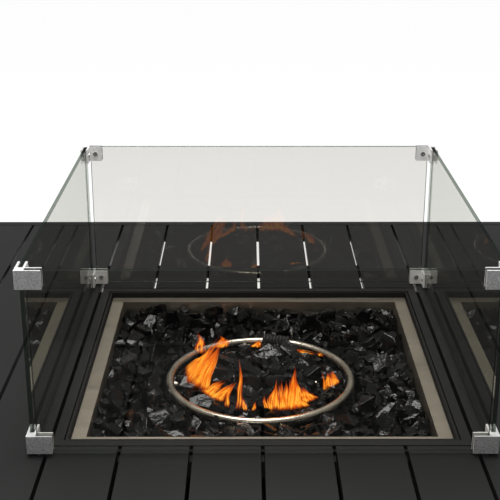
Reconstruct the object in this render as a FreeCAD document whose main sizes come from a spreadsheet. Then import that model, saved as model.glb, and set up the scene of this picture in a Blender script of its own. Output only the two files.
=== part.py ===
import FreeCAD, Part
import math
import os
import re

import Sketcher

# Square gas fire-pit table: slatted aluminium top on a cabinet base, drop-in burner pan with a round
# burner ring in a bed of fire glass, and a lift-off glass wind guard.
# Millimetres and degrees. +Z is up, -Y is the front, and the origin is on the floor under the middle.

DIMS = {
    # tabletop
    "table_height": 640,
    "table_half": 686,
    "rim_width": 20,
    "rim_depth": 40,
    "rim_wall": 2,
    "rim_mitre": 0.3,
    "rim_joint": 4,
    "slat_pitch": 98,
    "slat_gap": 5,
    "slat_thick": 15,
    "slat_wall": 1.6,
    "slat_round": 0.8,
    "pit_outer": 291,
    "pit_bar": 14.5,
    "pit_joint": 3,
    "beam_depth": 25,
    "beam_wall": 2,
    "pit_beam_width": 50,
    "pit_beam_mid": 285,
    "mid_beam_size": 20,
    "mid_beam_mid": 441.5,
    "ledge_size": 15,
    "bearer_width": 40,
    "bearer_depth": 30,
    "bearer_reach": 460,
    # pan and its supporting angle
    "angle_outer": 274.8,
    "angle_thick": 3,
    "angle_leg": 20.8,
    "angle_drop": 1,
    "pan_flange_half": 269.8,
    "pan_flange_drop": 10.5,
    "pan_inner": 249.4,
    "pan_sheet": 1.5,
    "pan_floor_drop": 95,
    # burner
    "ring_radius": 147.5,
    "ring_tube": 6.5,
    "ring_bore": 5.3,
    "ring_drop": 43,
    "feed_drop": 54,
    "port_radius": 0.9,
    "port_tilt": 35,
    "hub_radius": 22,
    "hub_top_drop": 46,
    "hub_bottom_drop": 64,
    "neck_radius": 10,
    "neck_bottom_drop": 112,
    "gas_bore": 7,
    "nut_radius": 19,
    "nut_height": 8,
    "mixer_radius": 15,
    "mixer_bottom_drop": 150,
    "mixer_hole": 4,
    "fit_gap": 0.5,
    "cut_over": 1,
    "bed_top_drop": 44,
    "bed_bottom_drop": 93,
    "bed_side_gap": 1,
    "bed_bank_inner": 190,
    "bed_bank_drop": 32,
    # pilot group behind the ring
    "hood_x": 29,
    "hood_y": 144.6,
    "hood_turn": -11.3,
    "hood_length": 46,
    "hood_inner": 9.2,
    "hood_wall": 1.4,
    "hood_rib": 1.1,
    "pocket_left": -4,
    "pocket_right": 70,
    "pocket_front": 157,
    "pocket_back": 184,
    "strap_half": 8,
    "strap_thick": 1.5,
    "strap_gap": 3,
    "strap_rise": 4,
    "strap_foot_gap": 4,
    "probe_gap": 8,
    "probe_radius": 3,
    "electrode_shift": 20,
    "insulator_length": 47,
    "electrode_radius": 1,
    "electrode_low": 46,
    "electrode_length": 16,
    "sensor_shift": 28,
    "sensor_neck_radius": 2.1,
    "sensor_point_radius": 0.9,
    "sensor_shoulder": 40,
    "sensor_neck": 42,
    "sensor_cone": 58,
    "sensor_length": 61,
    # control group on the front panel
    "control_height": 440,
    "igniter_x": 90,
    "valve_setback": 20,
    "valve_length": 38,
    "valve_half_width": 16,
    "valve_half_height": 18,
    "nose_radius": 9,
    "nose_length": 14,
    "inlet_radius": 8,
    "inlet_inset": 18,
    "inlet_drop": 40,
    "inlet_bore": 4.5,
    "inlet_bore_depth": 20,
    "collar_radius": 11,
    "collar_height": 6,
    "collar_drop": 30,
    "outlet_length": 8,
    "stem_radius": 4,
    "stem_clear": 0.05,
    "stem_reach": 20,
    "stem_bore_depth": 44,
    "stem_end_gap": 1,
    "knob_radius": 24,
    "knob_depth": 23,
    "knob_gap": 4.5,
    "knob_cap": 4,
    "knob_skirt": 4,
    "knob_slope": 3,
    "knob_step": 4,
    "knob_taper": 1,
    "knob_bevel": 2,
    "flute_radius": 3,
    "flute_inset": 2.5,
    "pointer_half": 1.2,
    "pointer_start": 3,
    "pointer_inset": 8,
    "pointer_height": 1.5,
    "bezel_radius": 30,
    "bezel_bore": 9.5,
    "bezel_thick": 3,
    "bezel_edge": 1,
    "igniter_flange": 3,
    "igniter_flange_radius": 14,
    "igniter_radius": 10,
    "igniter_length": 45,
    "igniter_bore_depth": 36,
    "button_radius": 7,
    "button_seat": 28,
    "button_length": 35.5,
    "button_bevel": 1.5,
    "gas_tube_radius": 5,
    "gas_tube_bore": 4,
    "gas_tube_bend": 40,
    "tube_seat": 4,
    "tube_end_gap": 1,
    "tube_in_mixer": 8,
    # wind guard
    "guard_outer": 319.5,
    "guard_top": 268,
    "guard_foot": 3,
    "bracket_leg": 35,
    "bracket_height": 26,
    "bracket_plate": 2.8,
    "bracket_channel": 7.4,
    "bracket_round": 1.2,
    "glass_thick": 6,
    "glass_inset": 1,
    "glass_bevel": 0.5,
    "glass_top_gap": 0.5,
    "pad_length": 18,
    "pad_inset": 1,
    "pad_margin": 1.5,
    "guard_screw_head": 4,
    "guard_screw_rise": 2.2,
    "guard_screw_shank": 2,
    "guard_screw_reach": 11.5,
    "guard_screw_bite": 1,
    "screw_key_radius": 1.4,
    "screw_key_floor": 0.9,
    "bumper_radius": 2.4,
    "bumper_pitch": 9.5,
    # base cabinet
    "base_half": 380,
    "post_width": 40,
    "post_wall": 2,
    "glide_height": 15,
    "glide_radius": 19,
    "glide_plug": 25,
    "rail_depth": 40,
    "panel_setback": 2,
    "panel_thick": 2,
    "panel_gap": 0.6,
    "panel_reveal": 4,
    "louvre_length": 150,
    "louvre_height": 7,
    "louvre_pitch": 18,
    "louvre_low": 50,
    "tray_thick": 2,
    "tray_vent_radius": 25,
    "tray_vent_place": 180,
    "panel_screw_inset": 16,
    "panel_screw_head": 4.5,
    "panel_screw_rise": 2.2,
    "panel_screw_shank": 2,
    "panel_screw_length": 9,
    # tank door at the back
    "door_gap": 3,
    "door_depth": 18,
    "door_sheet": 1.5,
    "hinge_standoff": 5,
    "hinge_barrel": 4.4,
    "hinge_pin": 2.5,
    "hinge_leaf": 24,
    "hinge_plate": 2,
    "hinge_height": 60,
    "hinge_inset": 70,
    "knuckle_gap": 0.4,
    "post_leaf_gap": 3.4,
    "post_arm_reach": 4.5,
    "door_leaf_gap": 5.5,
    "door_arm_reach": 6,
    "arm_root": 1,
    "pin_head": 2,
    "handle_radius": 6,
    "handle_length": 160,
    "handle_standoff": 34,
    "handle_bend": 14,
    "handle_inset": 40,
    "catch_width": 40,
    "catch_height": 14,
    "catch_depth": 12,
    "catch_gap": 0.4,
}

SLAT_SIDE_COUNT = 3
SLAT_MIDDLE_COUNT = 6
PORT_COUNT = 36
HOOD_RIBS = 8
LOUVRE_COUNT = 7
KNOB_FLUTES = 12

doc = FreeCAD.newDocument("fire_pit_table")
sheet = doc.addObject("Spreadsheet::Sheet", "Dims")
for row, (alias, value) in enumerate(DIMS.items(), start=1):
    sheet.set(f"A{row}", alias)
    sheet.set(f"B{row}", str(value))
    sheet.setAlias(f"B{row}", alias)
doc.recompute()

WORD = re.compile(r"[a-z][a-z_0-9]*")
nodes = []


def formula(text):
    """The expression with each dimension's alias written as a cell of the sheet."""
    return WORD.sub(lambda m: "Dims." + m.group() if m.group() in DIMS else m.group(), str(text))


def bind(obj, prop, text):
    obj.setExpression(prop, formula(text))


def bind_place(obj, x="0", y="0", z="0"):
    bind(obj, "Placement.Base.x", x)
    bind(obj, "Placement.Base.y", y)
    bind(obj, "Placement.Base.z", z)


def node(obj, label):
    """Marks an object as one sub-part, whose Label is the name of its file."""
    obj.Label = label
    nodes.append(obj)
    return obj


# ---------------------------------------------------------------- primitives and booleans


def block(name, xs, ys, zs):
    """A box between two faces on each axis, each given as a formula."""
    box = doc.addObject("Part::Box", name)
    bind(box, "Length", f"({xs[1]}) - ({xs[0]})")
    bind(box, "Width", f"({ys[1]}) - ({ys[0]})")
    bind(box, "Height", f"({zs[1]}) - ({zs[0]})")
    bind_place(box, xs[0], ys[0], zs[0])
    return box


AXIS_TURN = {
    "x": FreeCAD.Rotation(FreeCAD.Vector(0, 1, 0), 90),
    "y": FreeCAD.Rotation(FreeCAD.Vector(1, 0, 0), -90),
    "z": FreeCAD.Rotation(),
}


def rod(name, radius, length, start, axis="z"):
    """A round bar from its start point along +X, +Y or +Z."""
    bar = doc.addObject("Part::Cylinder", name)
    bind(bar, "Radius", radius)
    bind(bar, "Height", length)
    bar.Placement = FreeCAD.Placement(FreeCAD.Vector(), AXIS_TURN[axis])
    bind_place(bar, *start)
    return bar


def cut(name, base, tool):
    part = doc.addObject("Part::Cut", name)
    part.Base = base
    part.Tool = tool
    return part


def fuse(name, *shapes):
    part = doc.addObject("Part::MultiFuse", name)
    part.Shapes = list(shapes)
    return part


def group(name, members):
    part = doc.addObject("Part::Compound", name)
    part.Links = list(members)
    return part


def box_tube(name, xs, ys, zs, wall, along):
    """A rectangular tube, open at both ends of the axis it runs along."""
    spans = {"x": xs, "y": ys, "z": zs}
    inner = {}
    for axis, (low, high) in spans.items():
        inner[axis] = (low, high) if axis == along else (f"{low} + {wall}", f"{high} - {wall}")
    outside = block(name + "_outside", xs, ys, zs)
    inside = block(name + "_inside", inner["x"], inner["y"], inner["z"])
    return cut(name, outside, inside)


def mirrored(low, high):
    """A span and its mirror image on the other side of zero."""
    return [(low, high), (f"-({high})", f"-({low})")]


# ---------------------------------------------------------------- bodies made from sketches


def new_body(name, x="0", y="0", z="0", turn=0, turn_axis=(0, 0, 1)):
    body = doc.addObject("PartDesign::Body", name)
    body.Placement = FreeCAD.Placement(
        FreeCAD.Vector(), FreeCAD.Rotation(FreeCAD.Vector(*turn_axis), turn)
    )
    bind_place(body, x, y, z)
    return body


def new_sketch(body, name, plane, offset="0"):
    sketch = body.newObject("Sketcher::SketchObject", name)
    support = next(f for f in body.Origin.OriginFeatures if f.Role == plane)
    sketch.AttachmentSupport = [(support, "")]
    sketch.MapMode = "FlatFace"
    bind(sketch, "AttachmentOffset.Base.z", offset)
    return sketch


def fix_point(sketch, geometry, point, x, y):
    """Holds a point at the given formulas, measured from the sketch's origin."""
    place = sketch.getPoint(geometry, point)
    for kind, letter, now, text in (("DistanceX", "x", place.x, x), ("DistanceY", "y", place.y, y)):
        name = f"{letter}_{geometry}_{point}"
        index = sketch.addConstraint(Sketcher.Constraint(kind, -1, 1, geometry, point, now))
        sketch.renameConstraint(index, name)
        sketch.setExpression("Constraints." + name, formula(text))


def draw_outline(sketch, points):
    """A closed outline of straight lines through the given points."""
    first = sketch.GeometryCount
    count = len(points)
    around = [2 * math.pi * i / count for i in range(count + 1)]
    corners = [FreeCAD.Vector(10 * math.cos(a), 10 * math.sin(a), 0) for a in around]
    for start, end in zip(corners, corners[1:]):
        sketch.addGeometry(Part.LineSegment(start, end), False)
    for i in range(count):
        following = first + (i + 1) % count
        sketch.addConstraint(Sketcher.Constraint("Coincident", first + i, 2, following, 1))
    for i, (x, y) in enumerate(points):
        fix_point(sketch, first + i, 1, x, y)


def draw_box(sketch, xs, ys):
    draw_outline(sketch, [(xs[0], ys[0]), (xs[1], ys[0]), (xs[1], ys[1]), (xs[0], ys[1])])


def draw_bent_path(sketch, rough_runs, runs):
    """Straight runs joined by tangent arcs that turn left, from rough ends and the formulas they obey."""
    lines = []
    for start, end in rough_runs:
        ends = (FreeCAD.Vector(*start, 0), FreeCAD.Vector(*end, 0))
        lines.append(sketch.addGeometry(Part.LineSegment(*ends), False))
    for line, (start, end) in zip(lines, runs):
        fix_point(sketch, line, 1, *start)
        fix_point(sketch, line, 2, *end)
    for before, after in zip(lines, lines[1:]):
        start, end = sketch.getPoint(before, 2), sketch.getPoint(after, 1)
        runs_level = abs(sketch.getPoint(before, 1).y - start.y) < 0.01
        centre = FreeCAD.Vector(start.x, end.y, 0) if runs_level else FreeCAD.Vector(end.x, start.y, 0)
        radius = centre.distanceToPoint(start)
        circle = Part.Circle(centre, FreeCAD.Vector(0, 0, 1), radius)
        angles = [math.atan2(p.y - centre.y, p.x - centre.x) for p in (start, end)]
        arc = sketch.addGeometry(Part.ArcOfCircle(circle, *angles), False)
        sketch.addConstraint(Sketcher.Constraint("Tangent", before, 2, arc, 1))
        sketch.addConstraint(Sketcher.Constraint("Coincident", arc, 2, after, 1))


def draw_circle(sketch, x, y, radius):
    index = sketch.addGeometry(Part.Circle(FreeCAD.Vector(), FreeCAD.Vector(0, 0, 1), 5), False)
    name = f"radius_{index}"
    sketch.renameConstraint(sketch.addConstraint(Sketcher.Constraint("Radius", index, 5)), name)
    sketch.setExpression("Constraints." + name, formula(radius))
    fix_point(sketch, index, 3, x, y)


def pad(body, sketch, length, reversed_=False, both_ways=False):
    feature = body.newObject("PartDesign::Pad", sketch.Name + "_pad")
    feature.Profile = sketch
    bind(feature, "Length", length)
    feature.Reversed = reversed_
    if both_ways:
        feature.SideType = "Symmetric"
    doc.recompute()
    return feature


def take_away(body, feature):
    """Recomputes, and stops if the feature that was to remove material removed none."""
    doc.recompute()
    if feature.Shape.Volume > feature.BaseFeature.Shape.Volume - 0.01:
        raise RuntimeError(f"{feature.Name} in {body.Name} removes nothing")
    return feature


def pocket(body, sketch, length, reversed_=False):
    feature = body.newObject("PartDesign::Pocket", sketch.Name + "_pocket")
    feature.Profile = sketch
    bind(feature, "Length", length)
    feature.Reversed = reversed_
    return take_away(body, feature)


def revolve(body, sketch, axis="V_Axis", angle="360"):
    feature = body.newObject("PartDesign::Revolution", sketch.Name + "_turned")
    feature.Profile = sketch
    feature.ReferenceAxis = (sketch, [axis])
    bind(feature, "Angle", angle)
    doc.recompute()
    return feature


def round_edges(body, kind, size, wanted):
    """A Fillet or Chamfer on the edges of the body's tip that pass the wanted test."""
    base = body.Tip
    names = [f"Edge{i}" for i, edge in enumerate(base.Shape.Edges, start=1) if wanted(edge)]
    feature = body.newObject("PartDesign::" + kind, f"{body.Name}_{kind}")
    feature.Base = (base, names)
    bind(feature, "Radius" if kind == "Fillet" else "Size", size)
    doc.recompute()
    return feature


def runs_along(edge, x, y, z):
    """True for a straight edge parallel to the given direction."""
    if not isinstance(edge.Curve, Part.Line):
        return False
    direction = edge.Curve.Direction
    return abs(direction.x * x + direction.y * y + direction.z * z) > 0.999


def value(alias):
    return float(sheet.get(alias))


# ---------------------------------------------------------------- tabletop


def make_rims():
    """Four mitred edge channels, open underneath."""
    for label, turn in (("rim_front", 0), ("rim_right", 90), ("rim_back", 180), ("rim_left", 270)):
        body = new_body(label, z="table_height", turn=turn)
        outline = new_sketch(body, label + "_outline", "XY_Plane")
        far, near = "table_half - rim_mitre", "table_half - rim_width - rim_mitre"
        draw_outline(outline, [
            (f"-({far})", "-table_half"),
            (far, "-table_half"),
            (near, "-table_half + rim_width"),
            (f"-({near})", "-table_half + rim_width"),
        ])
        pad(body, outline, "rim_depth", reversed_=True)
        hollow = new_sketch(body, label + "_hollow", "XY_Plane", "-rim_wall")
        draw_box(
            hollow,
            (f"-({near}) + rim_wall", f"{near} - rim_wall"),
            ("-table_half + rim_wall", "-table_half + rim_width - rim_wall"),
        )
        pocket(body, hollow, "rim_depth")
        round_edges(body, "Fillet", "slat_round", lambda e: runs_along(e, 1, 0, 0)
                    and e.BoundBox.ZMin > -0.01)
        node(body, label)


def make_slat(name, xs, ys):
    """A hollow slat from front to back with softened top edges."""
    body = new_body(name, z="table_height")
    section = new_sketch(body, name + "_section", "XZ_Plane", f"-({ys[1]})")
    draw_box(section, xs, ("-slat_thick", "0"))
    draw_box(
        section,
        (f"{xs[0]} + slat_wall", f"{xs[1]} - slat_wall"),
        ("-slat_thick + slat_wall", "-slat_wall"),
    )
    pad(body, section, f"({ys[1]}) - ({ys[0]})")
    round_edges(body, "Fillet", "slat_round", lambda e: runs_along(e, 0, 1, 0)
                and e.BoundBox.ZMin > -0.01)
    return body


def make_slats():
    slat_end = "table_half - rim_width - rim_joint"
    long_run = (f"-({slat_end})", slat_end)
    short_run = ("pit_outer + pit_joint", slat_end)
    for side, sign in (("left", "-1"), ("right", "1")):
        slats = []
        for i in range(SLAT_SIDE_COUNT):
            mid = f"{sign} * ({SLAT_MIDDLE_COUNT / 2 + i + 0.5}) * slat_pitch"
            half = "(slat_pitch - slat_gap) / 2"
            slats.append(make_slat(f"slat_{side}_{i}", (f"{mid} - {half}", f"{mid} + {half}"), long_run))
        inner = f"{SLAT_MIDDLE_COUNT / 2 + SLAT_SIDE_COUNT} * slat_pitch + slat_gap / 2"
        edge = (inner, slat_end) if side == "right" else (f"-({slat_end})", f"-({inner})")
        slats.append(make_slat(f"slat_{side}_edge", edge, long_run))
        node(group("slats_" + side, slats), "slats_" + side)
    for side, run in (("front", (f"-({short_run[1]})", f"-({short_run[0]})")), ("back", short_run)):
        slats = []
        for i in range(SLAT_MIDDLE_COUNT):
            left = f"({i - SLAT_MIDDLE_COUNT / 2}) * slat_pitch + slat_gap / 2"
            span = (left, f"{left} + slat_pitch - slat_gap")
            slats.append(make_slat(f"slat_{side}_{i}", span, run))
        node(group("slats_" + side, slats), "slats_" + side)


def make_pit_frame():
    """The square bar frame round the pit opening, resting on the pit beams."""
    body = new_body("pit_frame", z="table_height - slat_thick")
    plan = new_sketch(body, "pit_frame_plan", "XY_Plane")
    draw_box(plan, ("-pit_outer", "pit_outer"), ("-pit_outer", "pit_outer"))
    inner = "(pit_outer - pit_bar)"
    draw_box(plan, (f"-{inner}", inner), (f"-{inner}", inner))
    pad(body, plan, "slat_thick")
    round_edges(body, "Fillet", "slat_round", lambda e: e.BoundBox.ZMin > value("slat_thick") - 0.01)
    node(body, "pit_frame")


def make_beams():
    """Tubes under the slats, and the two bearers that carry them on the base."""
    rim_inner = "(table_half - rim_width)"
    top = "table_height - slat_thick"
    bottom = f"{top} - beam_depth"
    pit_near = "(pit_beam_mid - pit_beam_width / 2)"
    pit_far = "(pit_beam_mid + pit_beam_width / 2)"
    cross_tubes = {
        "pit": (pit_near, pit_far, "beam_depth"),
        "mid": ("(mid_beam_mid - mid_beam_size / 2)", "(mid_beam_mid + mid_beam_size / 2)",
                "mid_beam_size"),
        "ledge": (f"({rim_inner} - ledge_size)", rim_inner, "ledge_size"),
    }
    cross = []
    for label, (near, far, depth) in cross_tubes.items():
        for i, ys in enumerate(mirrored(near, far)):
            cross.append(box_tube(f"cross_beam_{label}_{i}", (f"-{rim_inner}", rim_inner), ys,
                                  (f"{top} - {depth}", top), "beam_wall", "x"))
    node(group("cross_beams", cross), "cross_beams")
    side = []
    for i, xs in enumerate(mirrored(pit_near, pit_far)):
        side.append(box_tube(f"side_beam_{i}", xs, (f"-{pit_near}", pit_near), (bottom, top),
                             "beam_wall", "y"))
    node(group("side_beams", side), "side_beams")
    bearers = []
    for i, xs in enumerate(mirrored("base_half - bearer_width", "base_half")):
        bearers.append(box_tube(f"bearer_{i}", xs, ("-bearer_reach", "bearer_reach"),
                                (f"{bottom} - bearer_depth", bottom), "beam_wall", "y"))
    node(group("bearer_rails", bearers), "bearer_rails")


# ---------------------------------------------------------------- pan and burner


def square_block(name, half, low_drop, high_drop):
    """A square block centred on the table, between two depths below the tabletop."""
    return block(name, (f"-({half})", half), (f"-({half})", half),
                 (f"table_height - {low_drop}", f"table_height - {high_drop}"))


def make_pan_support():
    """An angle frame whose lower leg carries the pan's flange."""
    outside = square_block("angle_outside", "angle_outer", "slat_thick", "angle_drop")
    recess = square_block("angle_recess", "angle_outer - angle_thick",
                          "(slat_thick - angle_thick)", "0")
    opening = square_block("angle_opening", "angle_outer - angle_leg", "(slat_thick + cut_over)", "0")
    node(cut("pan_support", outside, fuse("angle_inside", recess, opening)), "pan_support")


def make_burner_pan():
    """A folded tray with a turned-out flange and a hole for the burner's neck."""
    body = new_body("burner_pan", z="table_height - pan_flange_drop")
    flange = new_sketch(body, "pan_flange", "XY_Plane")
    draw_box(flange, ("-pan_flange_half", "pan_flange_half"), ("-pan_flange_half", "pan_flange_half"))
    pad(body, flange, "pan_sheet", reversed_=True)
    tub = new_sketch(body, "pan_tub", "XY_Plane")
    outer = "(pan_inner + pan_sheet)"
    draw_box(tub, (f"-{outer}", outer), (f"-{outer}", outer))
    pad(body, tub, "pan_floor_drop - pan_flange_drop + pan_sheet", reversed_=True)
    inside = new_sketch(body, "pan_inside", "XY_Plane")
    draw_box(inside, ("-pan_inner", "pan_inner"), ("-pan_inner", "pan_inner"))
    pocket(body, inside, "pan_floor_drop - pan_flange_drop")
    neck_hole = new_sketch(body, "pan_neck_hole", "XY_Plane")
    draw_circle(neck_hole, "0", "0", "neck_radius + fit_gap")
    pocket(body, neck_hole, "2 * pan_floor_drop")
    node(body, "burner_pan")


def torus(name, ring_radius, tube_radius, z):
    ring = doc.addObject("Part::Torus", name)
    bind(ring, "Radius1", ring_radius)
    bind(ring, "Radius2", tube_radius)
    bind_place(ring, z=z)
    return ring


RING_Z = "table_height - ring_drop"
FEED_Z = "table_height - feed_drop"


def burner_form(name, tube_radius, hub_radius, neck_radius):
    """The burner's outside: ring, feed tube across it, hub, and neck down through the pan."""
    return fuse(
        name,
        torus(name + "_ring", "ring_radius", tube_radius, RING_Z),
        rod(name + "_feed", tube_radius, "2 * ring_radius", ("-ring_radius", "0", FEED_Z), "x"),
        rod(name + "_hub", hub_radius, "hub_bottom_drop - hub_top_drop",
            ("0", "0", "table_height - hub_bottom_drop")),
        rod(name + "_neck", neck_radius, "neck_bottom_drop - hub_top_drop",
            ("0", "0", "table_height - neck_bottom_drop")),
    )


def make_burner_ring():
    """A hollow ring with small gas ports on its upper inner side."""
    outside = burner_form("burner_outside", "ring_tube", "hub_radius", "neck_radius")
    passages = [
        torus("burner_gas_ring", "ring_radius", "ring_bore", RING_Z),
        rod("burner_gas_feed", "ring_bore", "2 * ring_radius", ("-ring_radius", "0", FEED_Z), "x"),
        rod("burner_gas_neck", "gas_bore", "neck_bottom_drop - feed_drop",
            ("0", "0", "table_height - neck_bottom_drop")),
    ]
    for i in range(PORT_COUNT):
        port = doc.addObject("Part::Cylinder", f"burner_port_{i}")
        bind(port, "Radius", "port_radius")
        bind(port, "Height", "ring_tube + 2 * cut_over")
        around = FreeCAD.Rotation(FreeCAD.Vector(0, 0, 1), 360 * i / PORT_COUNT)
        inward = FreeCAD.Rotation(FreeCAD.Vector(0, 1, 0), -value("port_tilt"))
        port.Placement = FreeCAD.Placement(FreeCAD.Vector(), around.multiply(inward))
        angle = f"{360 * i / PORT_COUNT} deg"
        bind_place(port, f"ring_radius * cos({angle})", f"ring_radius * sin({angle})", RING_Z)
        passages.append(port)
    node(cut("burner_ring", outside, fuse("burner_passages", *passages)), "burner_ring")


def make_locknut():
    body = new_body("burner_locknut", z="table_height - pan_floor_drop - pan_sheet - nut_height")
    plan = new_sketch(body, "locknut_plan", "XY_Plane")
    corners = [60 * i for i in range(6)]
    draw_outline(plan, [(f"nut_radius * cos({a} deg)", f"nut_radius * sin({a} deg)") for a in corners])
    draw_circle(plan, "0", "0", "neck_radius + fit_gap / 2")
    pad(body, plan, "nut_height")
    node(body, "burner_locknut")


def make_air_mixer():
    """A brass venturi body with four air holes, under the burner's neck."""
    height = "(mixer_bottom_drop - neck_bottom_drop)"
    bottom = "table_height - mixer_bottom_drop"
    barrel = rod("mixer_barrel", "mixer_radius", height, ("0", "0", bottom))
    bores = [
        rod("mixer_bore", "gas_bore", height, ("0", "0", bottom)),
        rod("mixer_air_x", "mixer_hole", "2 * mixer_radius",
            ("-mixer_radius", "0", f"{bottom} + {height} / 2"), "x"),
        rod("mixer_air_y", "mixer_hole", "2 * mixer_radius",
            ("0", "-mixer_radius", f"{bottom} + {height} / 2"), "y"),
    ]
    node(cut("air_mixer", barrel, fuse("mixer_bores", *bores)), "air_mixer")


def make_fire_glass():
    """The bed of fire glass, banked up at the pan's walls and hollowed for burner and pilot group."""
    half = "pan_inner - bed_side_gap"
    bed = square_block("bed_block", half, "bed_bottom_drop", "bed_bank_drop")
    room = fuse(
        "bed_room",
        square_block("bed_dish", "bed_bank_inner", "bed_top_drop", "0"),
        burner_form("bed_burner", "(ring_tube + fit_gap)", "(hub_radius + fit_gap)",
                    "(neck_radius + fit_gap)"),
        block("bed_pocket", ("pocket_left", "pocket_right"), ("pocket_front", "pocket_back"),
              ("table_height - bed_bottom_drop - cut_over", "table_height")),
    )
    node(cut("fire_glass", bed, room), "fire_glass")


def make_pilot_group():
    """A ribbed hood over the back of the ring, its strap, the spark electrode and the sensor."""
    body = new_body("pilot_hood", "hood_x", "hood_y", RING_Z, turn=value("hood_turn"))
    section = new_sketch(body, "hood_section", "XY_Plane")
    points = [("-hood_length / 2", "hood_inner"), ("hood_length / 2", "hood_inner")]
    pitch = f"hood_length / {HOOD_RIBS}"
    valley, crest = "hood_inner + hood_wall", "hood_inner + hood_wall + hood_rib"
    for i in range(HOOD_RIBS):
        right = f"hood_length / 2 - {i} * {pitch}"
        points += [
            (right, valley),
            (f"{right} - 0.25 * {pitch}", crest),
            (f"{right} - 0.7 * {pitch}", crest),
        ]
    points.append(("-hood_length / 2", valley))
    draw_outline(section, points)
    revolve(body, section, "H_Axis", "180")
    node(body, "pilot_hood")

    floor = "table_height - pan_floor_drop"
    strap_xs = ("hood_x - strap_half", "hood_x + strap_half")
    strap_front, probe_y = "pocket_front + strap_gap", "pocket_front + probe_gap"
    strap = block("strap_upright", strap_xs, (strap_front, f"{strap_front} + strap_thick"),
                  (floor, f"{RING_Z} + strap_rise"))
    foot = block("strap_foot", strap_xs, (strap_front, "pocket_back - strap_foot_gap"),
                 (floor, f"{floor} + strap_thick"))
    node(fuse("pilot_bracket", strap, foot), "pilot_bracket")

    electrode_x = "hood_x - electrode_shift"
    insulator = rod("electrode_insulator", "probe_radius", "insulator_length",
                    (electrode_x, probe_y, floor))
    tip = rod("electrode_tip", "electrode_radius", "electrode_length",
              (electrode_x, probe_y, f"{floor} + electrode_low"))
    node(fuse("igniter_electrode", insulator, tip), "igniter_electrode")

    sensor = new_body("flame_sensor", "hood_x + sensor_shift", probe_y, floor)
    half_section = new_sketch(sensor, "sensor_section", "XZ_Plane")
    draw_outline(half_section, [
        ("0", "0"), ("probe_radius", "0"), ("probe_radius", "sensor_shoulder"),
        ("sensor_neck_radius", "sensor_neck"), ("sensor_neck_radius", "sensor_cone"),
        ("sensor_point_radius", "sensor_length"), ("0", "sensor_length"),
    ])
    revolve(sensor, half_section)
    node(sensor, "flame_sensor")


# ---------------------------------------------------------------- gas and controls


PANEL_FACE = "(-base_half + panel_setback)"
KNOB_BACK = f"({PANEL_FACE} - bezel_thick - knob_gap)"
STEM_FRONT = f"({KNOB_BACK} - knob_depth + knob_cap + stem_end_gap)"
VALVE_FRONT = "(-base_half + valve_setback)"
VALVE_BACK = "(-base_half + valve_setback + valve_length)"
NOSE_FRONT = f"({VALVE_FRONT} - nose_length)"
INLET_Y = f"({VALVE_BACK} - inlet_inset)"


def make_gas_valve():
    """The valve block with its front nose, and the threaded inlet that the hose would join."""
    inlet_low = "control_height - inlet_drop"
    body = block("valve_block", ("-valve_half_width", "valve_half_width"), (VALVE_FRONT, VALVE_BACK),
                 ("control_height - valve_half_height", "control_height + valve_half_height"))
    nose = rod("valve_nose", "nose_radius", "nose_length", ("0", NOSE_FRONT, "control_height"), "y")
    inlet = rod("valve_inlet", "inlet_radius", "inlet_drop - valve_half_height",
                ("0", INLET_Y, inlet_low))
    collar = rod("valve_collar", "collar_radius", "collar_height",
                 ("0", INLET_Y, "control_height - collar_drop"))
    outlet = rod("valve_outlet", "nose_radius", "outlet_length",
                 ("0", VALVE_BACK, "control_height"), "y")
    bores = [
        rod("valve_stem_bore", "stem_radius + stem_clear", "stem_bore_depth",
            ("0", NOSE_FRONT, "control_height"), "y"),
        rod("valve_outlet_bore", "gas_tube_radius + stem_clear", "outlet_length + tube_seat",
            ("0", f"{VALVE_BACK} - tube_seat", "control_height"), "y"),
        rod("valve_inlet_bore", "inlet_bore", "inlet_bore_depth", ("0", INLET_Y, inlet_low)),
    ]
    solid = fuse("valve_solid", body, nose, inlet, collar, outlet)
    node(cut("gas_valve", solid, fuse("valve_bores", *bores)), "gas_valve")


def make_valve_stem():
    """The stem that slides in the valve's nose when the knob is pushed."""
    shaft = rod("stem_shaft", "stem_radius", f"{VALVE_FRONT} + stem_reach - {STEM_FRONT}",
                ("0", STEM_FRONT, "control_height"), "y")
    node(shaft, "valve_stem")


def make_knob():
    """A fluted push-and-turn knob with a pointer ridge."""
    body = new_body("control_knob", "0", KNOB_BACK, "control_height", turn=90, turn_axis=(1, 0, 0))
    half_section = new_sketch(body, "knob_section", "XZ_Plane")
    bore, bore_end = "stem_radius + stem_clear", "knob_depth - knob_cap"
    grip = "knob_radius - knob_step"
    draw_outline(half_section, [
        (bore, "0"), ("knob_radius", "0"), ("knob_radius", "knob_skirt"),
        (grip, "knob_skirt + knob_slope"), (f"{grip} - knob_taper", "knob_depth - knob_bevel"),
        (f"{grip} - knob_taper - knob_bevel", "knob_depth"), ("0", "knob_depth"), ("0", bore_end),
        (bore, bore_end),
    ])
    revolve(body, half_section)
    flute = new_sketch(body, "knob_flute", "XY_Plane", "knob_depth + cut_over")
    draw_circle(flute, "knob_radius - flute_inset", "0", "flute_radius")
    flute_cut = pocket(body, flute, "knob_depth - knob_skirt - knob_slope")
    around = body.newObject("PartDesign::PolarPattern", "knob_flutes")
    around.Originals = [flute_cut]
    around.Axis = (flute, ["N_Axis"])
    around.Angle = 360
    around.Occurrences = KNOB_FLUTES
    body.Tip = around
    doc.recompute()
    pointer = new_sketch(body, "knob_pointer", "XY_Plane", "knob_depth")
    draw_box(pointer, ("-pointer_half", "pointer_half"), ("pointer_start", "knob_radius - pointer_inset"))
    pad(body, pointer, "pointer_height")
    node(body, "control_knob")


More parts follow.
